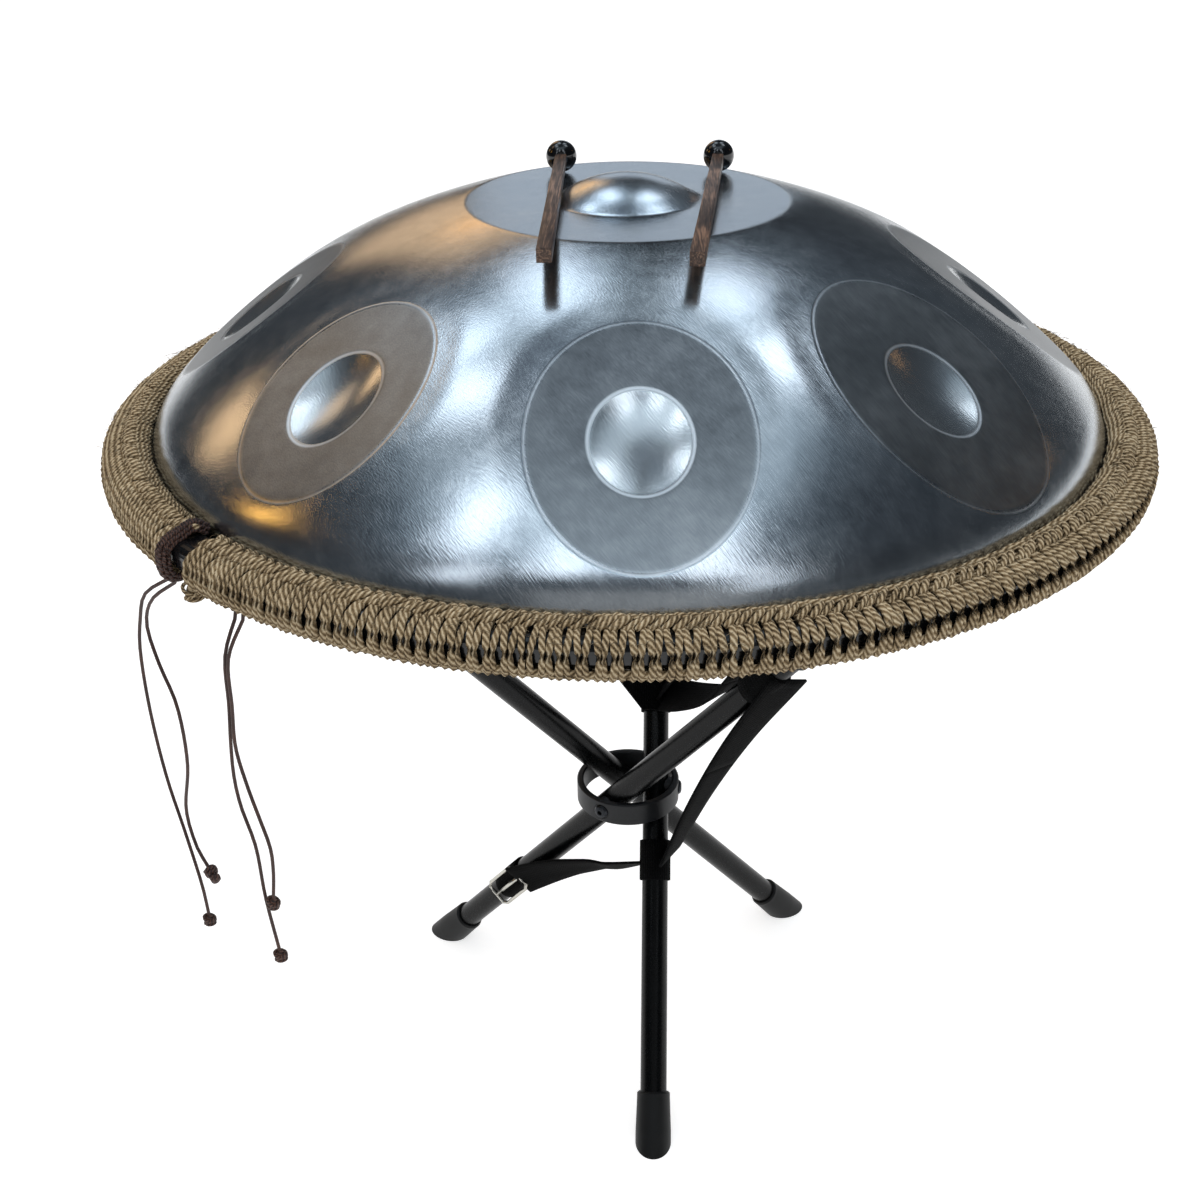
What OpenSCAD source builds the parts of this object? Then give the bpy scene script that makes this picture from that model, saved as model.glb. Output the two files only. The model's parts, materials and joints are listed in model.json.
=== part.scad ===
// Handpan on a folding three-leg stand, with two mallets resting on its crown.
// Millimetres. The origin is on the floor under the middle of the stand's hub,
// +Z is up, and the front tone field faces -Y.

/* [Shells] */
// Outer diameter of the steel flange that joins the two shells
flange_d = 540; // [530:1:550]
// Width of the flat flange outside both domes
flange_w = 12; // [10:0.5:15]
// Thickness of the shell steel
steel_wall = 1.2; // [1:0.1:1.6]
// Radius of the top shell's main dome
crown_r = 342; // [335:1:350]
// Height that the top dome would reach above the rim plane without its crown plate
crown_rise = 127.5; // [125:0.5:130]
// Width of the top dome's side wall, seen from above
crown_side_w = 12; // [11:0.5:16]
// Radius of the bottom shell's main dome
bowl_r = 365; // [358:1:372]
// Depth that the bottom dome would reach below the rim plane without its port
bowl_depth = 113; // [110:0.5:115]
// Width of the bottom dome's side wall, seen from above
bowl_side_w = 18; // [16:0.5:21]
// Thickness of the adhesive between the two flanges
bond_t = 0.4; // [0.3:0.1:0.8]

/* [Notes] */
// Diameter of the flat crown plate round the centre note
plate_d = 170; // [160:1:180]
// Diameter of the centre note's raised dome
ding_d = 76; // [70:1:80]
// Height of the centre note's dome above its plate
ding_rise = 12.5; // [10:0.5:14]
// Angle from the crown's axis to the middle of each tone field, at the dome's centre
field_tilt = 35.5; // [35:0.1:36]
// Direction of the first tone field, turned from the front towards +X
field_turn = 3; // [0:1:10]
// Width of each tone field across the slope, from the front one round towards +X
field_w = [103, 113, 108, 92, 84, 88, 90, 94]; // [80:1:116]
// Length of a tone field down the slope as a share of its width
field_stretch = 1.27; // [1.2:0.01:1.3]
// Diameter of the dimple in the middle of each tone field
dimple_d = 52; // [44:1:54]
// Depth of the dimple below its tone field
dimple_depth = 4.5; // [3:0.5:6]

/* [Port] */
// Inner diameter of the sound port in the bottom shell
port_d = 90; // [84:1:100]
// Length of the port's neck inside the bottom shell
port_neck = 50; // [40:1:60]
// Radius of the rolled mouth of the port
port_roll = 6; // [4:0.5:8]

/* [Rim] */
// Radial width of the rubber channel on the flange
trim_w = 17; // [16:0.5:18]
// Height of the rubber channel
trim_h = 15; // [13:0.5:17]
// How far the rubber channel reaches past the flange edge
trim_nose = 9; // [8:0.5:10]
// Thickness of the rope covering over the rubber channel
rope_t = 4.6; // [4:0.2:5]
// Width of the plaited chain on top of the rope covering
chain_w = 10; // [8:0.5:11]
// Height of the plaited chain
chain_h = 5; // [4:0.5:6]
// Direction of the gap between the rope's two ends, from the front towards +X
gap_turn = -46; // [-60:1:-40]
// Width of the gap between the rope's two ends
gap_w = 15; // [12:1:20]
// Length of the whipping that binds the rope's end
whip_l = 13; // [10:1:16]
// Thickness of the whipping over the rope
whip_t = 1.2; // [1:0.1:1.6]
// Diameter of the stopper knot under the rope's end
knot_d = 11; // [9:1:13]
// Diameter of one strand of the waxed tie cord
tie_d = 1.8; // [1.6:0.1:2]
// Diameter of the knotted bead at the end of each strand
bead_d = 6; // [5:0.5:7]

/* [Stand] */
// Outer diameter of a leg tube
tube_d = 16; // [15:0.5:17]
// Wall of a leg tube
tube_wall = 1.5; // [1:0.1:2]
// Length of a leg from its pivot to the floor and from its pivot to its tip
leg_half = 214; // [205:1:220]
// Angle of an open leg above the floor
leg_rise = 49.75; // [48:0.25:52]
// Distance of each pivot from the middle of the hub
pivot_r = 17.5; // [17:0.1:18]
// Outer diameter of the hub ring
hub_d = 64; // [63:0.5:67]
// Wall of the hub ring
hub_wall = 4; // [3.5:0.1:4.4]
// Height of the hub ring
hub_h = 15; // [14:0.5:17]
// Diameter of the rubber foot and tip caps
cap_d = 20; // [19:0.5:21]
// Length of tube that a cap covers
cap_grip = 20; // [16:1:24]
// Extra diameter of the foot cap at the floor
foot_flare = 1.5; // [0:0.5:2]
// Diameter of the pivot screws
screw_d = 5; // [4:0.5:5.5]
// Diameter of the pivot screws' button heads
screw_head_d = 9.2; // [8.5:0.1:9.6]
// Height of the button heads
screw_head_h = 2.6; // [2:0.1:3]
// Diameter of the nylon washers between tube and hub
washer_d = 12; // [11:0.5:12.5]
// Length of the threaded plug inside each tube
plug_l = 20; // [16:1:24]

/* [Strap] */
// Width of the webbing
strap_w = 25; // [22:1:27]
// Thickness of the webbing
strap_t = 1.6; // [1.4:0.1:2]
// Width of the slider buckle's frame
buckle_w = 34; // [32:1:36]
// Thickness of the slider buckle's wire
buckle_t = 2.4; // [2:0.2:3]

/* [Mallets] */
// Diameter of the rubber ball
ball_d = 17; // [15:1:18]
// Distance from the middle of the ball to the end of the handle
mallet_length = 180; // [160:5:190]
// Thickness of the handle at its end
handle_t = 7.2; // [6.5:0.1:8]
// Thickness of the handle where it enters the ball
handle_neck_t = 6; // [5:0.1:6.5]
// How far the middle of a ball lies behind the crown's axis
ball_back = 59; // [56:1:62]
// Place of the left mallet's ball, left of the crown's axis
left_ball_x = 37; // [36.5:0.5:40]
// Place of the left mallet's handle end, left of the crown's axis
left_end_x = 35; // [34:0.5:38]
// Place of the right mallet's ball, right of the crown's axis
right_ball_x = 50; // [49:1:54]
// Place of the right mallet's handle end, right of the crown's axis
right_end_x = 35; // [34:1:40]

/* [Clearances] */
// Gap between pieces of different bodies that rest on each other
rest_gap = 0.3; // [0.2:0.05:0.4]
// Clearance of a screw in its hole
screw_gap = 0.1; // [0.05:0.01:0.1]
// Clearance of a washer at the hub
washer_gap = 0.2; // [0.1:0.05:0.3]
// Clearance of a plug inside its tube
plug_gap = 0.05; // [0.05:0.05:0.1]

/* [Hidden] */
$fn = 96;
eps = 0.01;

flange_r = flange_d / 2;
base_r = flange_r - flange_w;
crown_edge_r = base_r - crown_side_w;
bowl_edge_r = base_r - bowl_side_w;
field_count = len(field_w);
ding_r = ding_d / 2;
plate_r = plate_d / 2;
crown_z0 = crown_rise - crown_r;
plate_z = crown_z0 + sqrt(crown_r * crown_r - plate_r * plate_r);
ding_sphere_r = (ding_r * ding_r + ding_rise * ding_rise) / (2 * ding_rise);
dimple_r = dimple_d / 2;
dimple_sphere_r = (dimple_r * dimple_r + dimple_depth * dimple_depth) / (2 * dimple_depth);
port_r = port_d / 2;

tube_r = tube_d / 2;
cap_r = cap_d / 2;
hub_r = hub_d / 2;
hub_bore_r = hub_r - hub_wall;
hub_z = leg_half * sin(leg_rise);
fold = 90 - leg_rise;

// The pan rests on the three round tip caps: the height of its bowl's centre follows
// from the distance between a cap's round end and the bowl.
tip_centre = leg_half - cap_r;
tip_x = pivot_r;
tip_y = tip_centre * cos(leg_rise);
tip_r = sqrt(tip_x * tip_x + tip_y * tip_y);
tip_z = hub_z + tip_centre * sin(leg_rise);
bowl_reach = bowl_r + cap_r + rest_gap;
bowl_centre_z = tip_z + sqrt(bowl_reach * bowl_reach - tip_r * tip_r);
rim_z = bowl_centre_z - bowl_r + bowl_depth + bond_t / 2;

trim_in_r = flange_r + trim_nose - trim_w;
trim_out_r = flange_r + trim_nose;
rope_in_r = trim_in_r - rope_t / 2;
rope_out_r = trim_out_r + rope_t;
rope_top = trim_h / 2 + rope_t / 2;
rope_bottom = -trim_h / 2 - rope_t;
slot_half = bond_t / 2 + steel_wall;
gap_a = gap_w / rope_out_r * 180 / PI;
whip_a = whip_l / rope_out_r * 180 / PI;

// ---------------------------------------------------------------- shells

// Section of a dome: a large arc, then a smaller one that meets it in line and comes
// down to the flange. inset moves both arcs inwards, for the inner surface.
module dome_section(r, rise, edge_r, inset = 0) {
    centre_z = rise - r;
    edge_z = centre_z + sqrt(r * r - edge_r * edge_r);
    edge_tilt = asin(edge_r / r);
    chord = sqrt(pow(base_r - edge_r, 2) + edge_z * edge_z);
    side_r = chord / (2 * sin(atan2(edge_z, base_r - edge_r) - edge_tilt));
    intersection() {
        translate([0, -eps]) square([2 * r, 2 * r]);
        union() {
            intersection() {
                translate([0, centre_z]) circle(r = r - inset, $fn = 360);
                polygon([[0, centre_z], [4 * edge_r, centre_z + 4 * (edge_z - centre_z)],
                    [0, 4 * r]]);
            }
            translate([edge_r - side_r * sin(edge_tilt), edge_z - side_r * cos(edge_tilt)])
                circle(r = side_r - inset, $fn = 180);
        }
    }
}

// Puts its children at the middle of tone field k, with +Z out of the dome, +Y up the
// slope and the origin at the dome's centre.
module at_field(k) {
    turn = field_turn + k * 360 / field_count;
    translate([0, 0, crown_z0]) rotate([0, 0, turn]) rotate([field_tilt, 0, 0]) children();
}

// What is taken off the dome to press tone field k: everything outside a large cylinder
// that lies across the slope, so that the field's edge is an ellipse.
cut_room = 4;
module field_cut(k, inset) {
    half_w = field_w[k] / 2;
    half_l = half_w * field_stretch;
    sink = half_w * half_w / (2 * crown_r);
    field_r = 1 / (1 / crown_r - 2 * sink / (half_l * half_l));
    at_field(k) difference() {
        translate([-half_w * 1.3, -half_l * 1.3, crown_r - 2 * sink - inset - cut_room])
            cube([half_w * 2.6, half_l * 2.6, 15 * cut_room]);
        translate([0, 0, crown_r - sink - field_r]) rotate([0, 90, 0])
            cylinder(r = field_r - inset, h = half_w * 4, center = true, $fn = 360);
    }
}

module dimple_cut(k, inset) {
    sink = pow(field_w[k] / 2, 2) / (2 * crown_r);
    at_field(k) translate([0, 0, crown_r - sink + dimple_sphere_r - dimple_depth])
        sphere(r = dimple_sphere_r + inset);
}

// The top dome as a solid, with its crown plate, centre note, tone fields and dimples.
module top_form(inset = 0) {
    difference() {
        rotate_extrude() dome_section(crown_r, crown_rise, crown_edge_r, inset);
        translate([0, 0, plate_z - inset]) cylinder(r = plate_r * 1.2, h = crown_rise);
        for (k = [0 : field_count - 1]) {
            field_cut(k, inset);
            dimple_cut(k, inset);
        }
    }
    intersection() {
        translate([0, 0, plate_z + ding_rise - ding_sphere_r]) sphere(r = ding_sphere_r - inset);
        translate([0, 0, plate_z - inset - steel_wall]) cylinder(r = ding_r, h = ding_rise * 2);
    }
}

module top_shell() {
    color("lightsteelblue") translate([0, 0, rim_z + bond_t / 2]) difference() {
        union() {
            top_form();
            cylinder(r = flange_r, h = steel_wall);
        }
        top_form(steel_wall);
        translate([0, 0, -1]) cylinder(r = base_r - 2 * steel_wall, h = 1 + 2 * eps);
    }
}

// The bottom dome's section above its own rim plane: it is modelled upside down.
module bowl_form(inset = 0) {
    rotate_extrude() dome_section(bowl_r, bowl_depth, bowl_edge_r, inset);
}

port_lip_z = bowl_depth - bowl_r
    + sqrt(bowl_r * bowl_r - (port_r + port_roll) * (port_r + port_roll));

module port_neck_ring() {
    roll_r = port_roll;
    translate([0, 0, port_lip_z]) rotate_extrude() {
        translate([port_r, -port_neck]) square([steel_wall, port_neck - roll_r]);
        intersection() {
            translate([port_r, -roll_r]) square([roll_r, roll_r]);
            translate([port_r + roll_r, -roll_r]) difference() {
                circle(r = roll_r);
                circle(r = roll_r - steel_wall);
            }
        }
    }
}

module bottom_shell() {
    color("lightsteelblue") translate([0, 0, rim_z - bond_t / 2]) mirror([0, 0, 1]) {
        difference() {
            union() {
                bowl_form();
                cylinder(r = flange_r, h = steel_wall);
            }
            bowl_form(steel_wall);
            translate([0, 0, -1]) cylinder(r = base_r - 2 * steel_wall, h = 1 + 2 * eps);
            cylinder(r = port_r + port_roll, h = bowl_depth * 2);
        }
        port_neck_ring();
    }
}

module ring(r_in, r_out, z0, z1) {
    translate([0, 0, z0]) difference() {
        cylinder(r = r_out, h = z1 - z0);
        translate([0, 0, -1]) cylinder(r = r_in, h = z1 - z0 + 2);
    }
}

module rim_bond() {
    color("gray") translate([0, 0, rim_z]) ring(base_r + 1, flange_r, -bond_t / 2, bond_t / 2);
}

// ---------------------------------------------------------------- rim covering

function arc_points(x, y, r, a0, a1, n) =
    [for (i = [0 : n]) [x + r * cos(a0 + (a1 - a0) * i / n), y + r * sin(a0 + (a1 - a0) * i / n)]];

// A rectangle with corners of radius c inside and radius d outside.
module soft_rect(x0, x1, y0, y1, c, d) {
    polygon(concat(
        arc_points(x1 - d, y0 + d, d, -90, 0, 6), arc_points(x1 - d, y1 - d, d, 0, 90, 6),
        arc_points(x0 + c, y1 - c, c, 90, 180, 4), arc_points(x0 + c, y0 + c, c, 180, 270, 4)));
}

module trim_outline() {
    soft_rect(trim_in_r, trim_out_r, -trim_h / 2, trim_h / 2, 2, 6);
}

module rope_outline() {
    soft_rect(rope_in_r, rope_out_r, rope_bottom, rope_top, 2, 9);
}

module rim_trim() {
    color("black") translate([0, 0, rim_z]) rotate_extrude($fn = 180) difference() {
        trim_outline();
        translate([0, -slot_half]) square([flange_r, 2 * slot_half]);
    }
}

// Sweeps a rim section from turn a to turn a + span, both from the front towards +X.
module rim_sweep(a, span) {
    translate([0, 0, rim_z]) rotate([0, 0, a - 90]) rotate_extrude(angle = span, $fn = 180)
        children();
}

module rope_wrap() {
    color("tan") rim_sweep(gap_turn + gap_a / 2, 360 - gap_a) difference() {
        rope_outline();
        trim_outline();
        translate([0, -trim_h / 4]) square([trim_in_r + 1, trim_h / 2]);
    }
}

module rope_chain() {
    chain_in = rope_in_r + 2;
    color("tan") rim_sweep(gap_turn + gap_a / 2, 360 - gap_a)
        soft_rect(chain_in, chain_in + chain_w, rope_top, rope_top + chain_h, 1.5, 2.2);
}

module rope_whipping() {
    color("saddlebrown") rim_sweep(gap_turn - gap_a / 2 - whip_a - 0.1, whip_a) difference() {
        soft_rect(rope_in_r + 3, rope_out_r + whip_t, rope_bottom - whip_t, rope_top, 1, 9);
        rope_outline();
    }
}

// Gap of the cords and the knot to what holds them, and the knot's place.
cord_seat = 0.05;
knot_in = 9;

module rope_knot() {
    knot_r = knot_d / 2;
    color("tan") translate([0, 0, rim_z]) rotate([0, 0, gap_turn + gap_a / 2 + 1])
        translate([0, -rope_out_r + knot_in, rope_bottom - knot_r - cord_seat]) {
            sphere(r = knot_r);
            translate([0, 0, -knot_r * 0.8]) sphere(r = knot_r * 0.6);
        }
}

// ---------------------------------------------------------------- tie cords

function unit(v) = v / norm(v);
function smooth_point(p, i, s) =
    let (n = len(p) - 1, a = p[max(i - 1, 0)], b = p[i], c = p[min(i + 1, n)],
        d = p[min(i + 2, n)])
    0.5 * (2 * b + (c - a) * s + (2 * a - 5 * b + 4 * c - d) * s * s
        + (3 * b - a - 3 * c + d) * s * s * s);
function smooth_route(p, steps) = concat(
    [for (i = [0 : len(p) - 2]) for (j = [0 : steps - 1]) smooth_point(p, i, j / steps)],
    [p[len(p) - 1]]);
function route_dir(p, i) = unit(p[min(i + 1, len(p) - 1)] - p[max(i - 1, 0)]);

// A round cord along a route that runs mostly downwards, with eight sides.
module cord(route, d) {
    sides = 8;
    rings = len(route);
    points = [for (i = [0 : rings - 1])
        let (t = route_dir(route, i), u = unit(cross([0, 1, 0], t)), v = cross(t, u))
        for (j = [0 : sides - 1])
            route[i] + d / 2 * (cos(360 * j / sides) * u + sin(360 * j / sides) * v)];
    walls = [for (i = [0 : rings - 2]) for (j = [0 : sides - 1])
        [i * sides + j, i * sides + (j + 1) % sides, (i + 1) * sides + (j + 1) % sides,
            (i + 1) * sides + j]];
    polyhedron(points, concat(walls, [[for (j = [sides - 1 : -1 : 0]) j]],
        [[for (j = [0 : sides - 1]) (rings - 1) * sides + j]]));
}

// Routes of the four hanging strands, from under the whipping and under the rope down
// to their beads, measured from the rim plane's height.
rope_seat = rope_bottom - 4 * cord_seat;
whip_seat = rope_seat - whip_t;
tie_route_a1 = [[-210, -176, whip_seat], [-210.5, -175.5, -17], [-228, -166, -31], [-236, -157, -50], [-241, -151, -73],
    [-241, -151, -108], [-236, -157, -143], [-227, -168, -170], [-219, -178, -196],
    [-217, -180, -215]];
tie_route_a2 = [[-206.5, -180, whip_seat], [-207, -180, -17], [-223, -172, -31], [-231, -163, -50], [-226, -169, -68],
    [-216, -181, -86], [-215, -182, -118], [-223, -172, -153], [-219, -177, -172],
    [-211, -187, -178]];
tie_route_b1 = [[-166.5, -217, rope_seat], [-166.7, -217.2, -16], [-175, -221, -35], [-177, -219, -62], [-178, -219, -84],
    [-174, -222, -104], [-169, -226, -120], [-165, -229, -134], [-165, -229, -148],
    [-167, -228, -165]];
tie_route_b2 = [[-170.5, -214, rope_seat], [-170.8, -214.2, -16], [-177, -219, -35], [-179, -217, -62], [-181, -216, -84],
    [-182, -215, -103], [-180, -217, -119], [-174, -222, -139], [-172, -224, -168],
    [-168, -226, -199]];
route_steps = 2;

module tie_cord(route) {
    color("saddlebrown") translate([0, 0, rim_z]) cord(smooth_route(route, route_steps), tie_d);
}

// A knotted bead hangs from the end of a route.
module bead(route, double = false) {
    way = smooth_route(route, route_steps);
    end = len(way) - 1;
    small_d = bead_d * 0.85;
    translate([0, 0, rim_z]) translate(way[end] + (bead_d / 2 + cord_seat) * route_dir(way, end)) {
        sphere(d = bead_d, $fn = 32);
        if (double)
            translate([0, 0, -(bead_d + small_d) / 2 + 0.4]) sphere(d = small_d, $fn = 32);
    }
}

module tie_beads() {
    color("maroon") {
        bead(tie_route_a1);
        bead(tie_route_a2, double = true);
        bead(tie_route_b1);
        bead(tie_route_b2);
    }
}

// ---------------------------------------------------------------- stand

// Leg i's own frame: the origin at its pivot, +X out along the pivot screw and +Z up
// along the leg.
module at_leg(i) {
    rotate([0, 0, (i - 1) * 120]) translate([pivot_r, 0, hub_z]) rotate([-fold, 0, 0])
        children();
}

// Children drawn along +Z are turned to run along the pivot's axis.
module along_pivot() {
    rotate([0, 90, 0]) children();
}

screw_r = screw_d / 2;
screw_head_r = screw_head_d / 2;
washer_r = washer_d / 2;
head_seat = hub_r - 0.8;
washer_seat = hub_bore_r + 0.6;
plug_r = tube_r - tube_wall - plug_gap;
sole_t = 2;
tube_low = leg_half - (tube_r * cos(leg_rise) + sole_t) / sin(leg_rise);
tube_high = tip_centre - sole_t;

module hub() {
    chamfer = 0.8;
    color("dimgray") translate([0, 0, hub_z]) difference() {
        rotate_extrude() polygon([
            [hub_bore_r, -hub_h / 2 + chamfer], [hub_bore_r + chamfer, -hub_h / 2],
            [hub_r - chamfer, -hub_h / 2], [hub_r, -hub_h / 2 + chamfer],
            [hub_r, hub_h / 2 - chamfer], [hub_r - chamfer, hub_h / 2],
            [hub_bore_r + chamfer, hub_h / 2], [hub_bore_r, hub_h / 2 - chamfer]]);
        for (i = [0 : 2]) rotate([0, 0, i * 120]) along_pivot() {
            cylinder(r = screw_r + screw_gap, h = hub_d);
            cylinder(r = washer_r + 0.8, h = washer_seat);
            translate([0, 0, head_seat]) cylinder(r = screw_head_r + 0.4, h = hub_d);
        }
    }
}

module leg_tube(i) {
    color("black") at_leg(i) difference() {
        translate([0, 0, -tube_low]) cylinder(r = tube_r, h = tube_low + tube_high);
        translate([0, 0, -tube_low - 1])
            cylinder(r = tube_r - tube_wall, h = tube_low + tube_high + 2);
        along_pivot() cylinder(r = screw_r + screw_gap, h = tube_d);
    }
}

// A rubber foot that grips the tube's end and widens to the floor, which trims it flat.
module leg_foot(i) {
    collar_z = cap_grip - tube_low;
    foot_r = cap_r + foot_flare / 2;
    low = leg_half + cap_r;
    color("black") difference() {
        at_leg(i) difference() {
            rotate_extrude() polygon([[0, -low], [foot_r, -low], [foot_r, 6 - leg_half],
                [cap_r, collar_z - 3], [cap_r, collar_z - 1], [cap_r - 1, collar_z],
                [0, collar_z]]);
            translate([0, 0, -tube_low]) cylinder(r = tube_r, h = tube_low);
        }
        translate([-leg_half, -leg_half, -cap_d * 3]) cube([2 * leg_half, 2 * leg_half, cap_d * 3]);
    }
}

// A round-ended rubber cap that carries the pan.
module leg_tip(i) {
    collar_z = tube_high - cap_grip;
    color("black") at_leg(i) difference() {
        union() {
            translate([0, 0, collar_z]) cylinder(r1 = cap_r - 1, r2 = cap_r, h = 1);
            translate([0, 0, collar_z + 1]) cylinder(r = cap_r, h = tip_centre - collar_z - 1);
            translate([0, 0, tip_centre]) sphere(r = cap_r);
        }
        cylinder(r = tube_r, h = tube_high);
    }
}

// A button-head screw through the hub's wall into the plug inside the tube.
module pivot_screw(i) {
    head_z = head_seat - pivot_r + 0.05;
    tip_end = -3;
    color("gray") at_leg(i) along_pivot() difference() {
        union() {
            translate([0, 0, tip_end]) cylinder(r = screw_r, h = head_z - tip_end + eps);
            translate([0, 0, head_z]) rotate_extrude() polygon([[0, 0], [screw_head_r, 0],
                [screw_head_r, screw_head_h * 0.35], [screw_head_r * 0.8, screw_head_h * 0.8],
                [screw_head_r * 0.5, screw_head_h], [0, screw_head_h]]);
        }
        translate([0, 0, head_z + screw_head_h * 0.4])
            cylinder(r = screw_r * 0.7, h = screw_head_h, $fn = 6);
    }
}

module pivot_plug(i) {
    color("silver") at_leg(i) difference() {
        cylinder(r = plug_r, h = plug_l, center = true);
        translate([-3, 0, 0]) along_pivot() cylinder(r = screw_r, h = tube_d);
    }
}

// A nylon spacer, hollowed to sit on the tube, that turns against the hub's bore.
module pivot_washer(i) {
    outer = washer_seat - pivot_r - washer_gap;
    color("ivory") at_leg(i) difference() {
        along_pivot() cylinder(r = washer_r, h = outer);
        cylinder(r = tube_r, h = washer_d * 2, center = true);
        along_pivot() cylinder(r = screw_r + screw_gap, h = hub_d);
    }
}

// ---------------------------------------------------------------- strap

// How far along its leg each loop of webbing sits, from the pivot towards the tip.
loop_low_z = 95 - leg_half;
loop_front_z = 168 - leg_half;
loop_high_z = leg_half - 59;
loop_back_z = leg_half - 154;
loop_r = tube_r + strap_t;
buckle_reach = 10.2;
tail_l = 24;
tail_lap = 4;
strap_gap = 0.05;

module strap_loop(i, z) {
    color("black") at_leg(i) translate([0, 0, z]) ring(tube_r, loop_r, -strap_w / 2, strap_w / 2);
}

// Routes of the free webbing between its loops: the middle of the band, and beside each
// point the direction of its width there.
run_low = [[-73.3, 9.8, 80.2], [-64.6, 4.6, 87.7], [-52.6, -2.4, 97.4], [-40.3, -9.2, 106],
    [-29.1, -13.6, 111], [-19.4, -16.2, 113.9], [-9.2, -18.8, 115.2], [13.1, -24.5, 123.2]];
run_low_width = [[-0.43, -0.12, 0.89], [-0.43, -0.12, 0.89], [-0.45, -0.2, 0.87],
    [-0.47, -0.28, 0.84], [-0.49, -0.45, 0.75], [-0.49, -0.55, 0.68], [-0.49, -0.63, 0.6],
    [-0.48, -0.74, 0.48]];
run_diagonal = [[26.5, -32, 133], [45, -43, 186], [66, -56, 236], [86, -70, 276]];
run_diagonal_width = [[0.5, 0.8, 0.1], [0.75, 0.6, -0.15], [0.8, 0.5, -0.2], [0.8, 0.4, -0.2]];
run_upper = [[70.3, -54.3, 280.6], [56, -28, 250], [38, 3, 228], [22.5, 34, 211.5]];
run_return = [[76.7, -58.2, 289.4], [57, -27, 275], [39, 5, 251], [22.5, 36.8, 216.5]];
run_steps = 3;
run_upper_width = [[0.9, 0.43, -0.06], [0.72, 0.63, 0.31], [0.56, 0.68, 0.48], [0.43, 0.69, 0.58]];

// A flat band of webbing swept along a route.
module ribbon(route, width_route) {
    place = smooth_route(route, run_steps);
    widths = smooth_route(width_route, run_steps);
    rings = len(place);
    points = [for (i = [0 : rings - 1])
        let (t = route_dir(place, i), w = unit(widths[i] - (widths[i] * t) * t),
            n = cross(t, w))
        for (c = [[1, 1], [-1, 1], [-1, -1], [1, -1]])
            place[i] + c[0] * strap_w / 2 * w + c[1] * strap_t / 2 * n];
    walls = [for (i = [0 : rings - 2]) for (j = [0 : 3])
        let (a = i * 4 + j, b = i * 4 + (j + 1) % 4)
        for (f = [[a, b, b + 4], [a, b + 4, a + 4]]) f];
    polyhedron(points, concat(walls, [[3, 2, 1], [3, 1, 0]],
        [for (f = [[0, 1, 2], [0, 2, 3]]) [for (j = f) (rings - 1) * 4 + j]]));
}

// The pointed end of the webbing, on the front of leg 1's upper half.
module strap_tail() {
    color("black") at_leg(1)
        translate([0, -loop_r - rest_gap, loop_back_z]) rotate([90, 0, 0])
            linear_extrude(height = strap_t) polygon([[tail_lap, -strap_w / 2],
                [tail_lap, strap_w / 2], [4 - tail_l, strap_w / 2], [-tail_l, strap_w / 4],
                [-9, -strap_w / 2]]);
}

// The runs lie against the loops of both legs, and the low one comes out of the buckle.
module strap_run(route, width_route) {
    color("black") difference() {
        ribbon(route, width_route);
        for (i = [1, 3]) at_leg(i) cylinder(r = loop_r + strap_gap, h = 2 * leg_half, center = true);
        at_leg(3) translate([loop_r, -buckle_reach - 1, loop_low_z - buckle_w / 2])
            cube([2 * buckle_t, 2 * buckle_reach + 2, buckle_w]);
        at_leg(1) translate([-tail_l - 1, -loop_r - 2 * strap_t, loop_back_z - strap_w / 2 - 1])
            cube([tail_l + tail_lap + 1.2, 2 * strap_t, strap_w + 2]);
    }
}

// A flat slider frame of three bars, over the webbing on the outer side of leg 3.
module strap_buckle() {
    side = strap_w / 2 + (buckle_w - strap_w) / 4;
    reach = buckle_reach - buckle_t / 2;
    wire = buckle_t / 2;
    color("silver") at_leg(3) translate([loop_r + wire + 0.1, 0, loop_low_z]) {
        for (y = [-reach, 0, reach]) translate([0, y, -side]) cylinder(r = wire, h = 2 * side);
        for (z = [-side, side]) translate([0, 0, z]) rotate([90, 0, 0])
            cylinder(r = wire, h = 2 * reach, center = true);
        for (y = [-reach, reach], z = [-side, side]) translate([0, y, z]) sphere(r = wire);
    }
}

// ---------------------------------------------------------------- mallets

crown_z = rim_z + bond_t / 2 + plate_z;
ball_r = ball_d / 2;
function handle_half(d) = (handle_neck_t + (handle_t - handle_neck_t) * d / mallet_length) / 2;
function ding_height(x) =
    sqrt(ding_sphere_r * ding_sphere_r - x * x) - ding_sphere_r + ding_rise;

// The left handle leans on the centre note's dome, the right one on the plate's edge.
left_inner_x = (left_ball_x + left_end_x) / 2 - handle_t / 2;
left_drop = ball_r - handle_half(ball_back) - max(0, ding_height(left_inner_x));
left_tilt = atan(left_drop / ball_back);
right_mid_x = (right_ball_x + right_end_x) / 2;
right_reach = ball_back + sqrt(plate_r * plate_r - right_mid_x * right_mid_x);
right_tilt = atan((ball_r - handle_half(right_reach)) / right_reach);

// A mallet's own frame: the origin in the ball, -Z along the handle.
module at_mallet(ball_x, end_x, tilt) {
    translate([ball_x, ball_back, crown_z + rest_gap + ball_r])
        rotate([tilt, 0, atan((end_x - ball_x) / mallet_length)]) rotate([-90, 0, 0]) children();
}

module handle_form() {
    end_scale = handle_neck_t / handle_t;
    translate([0, 0, -mallet_length]) linear_extrude(height = mallet_length, scale = end_scale)
        square(handle_t, center = true);
}

module mallet_handle() {
    color("sienna") handle_form();
}

module mallet_ball() {
    color("black") difference() {
        sphere(r = ball_r);
        handle_form();
    }
}

module at_left() at_mallet(-left_ball_x, -left_end_x, left_tilt) children();
module at_right() at_mallet(right_ball_x, right_end_x, right_tilt) children();

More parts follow.
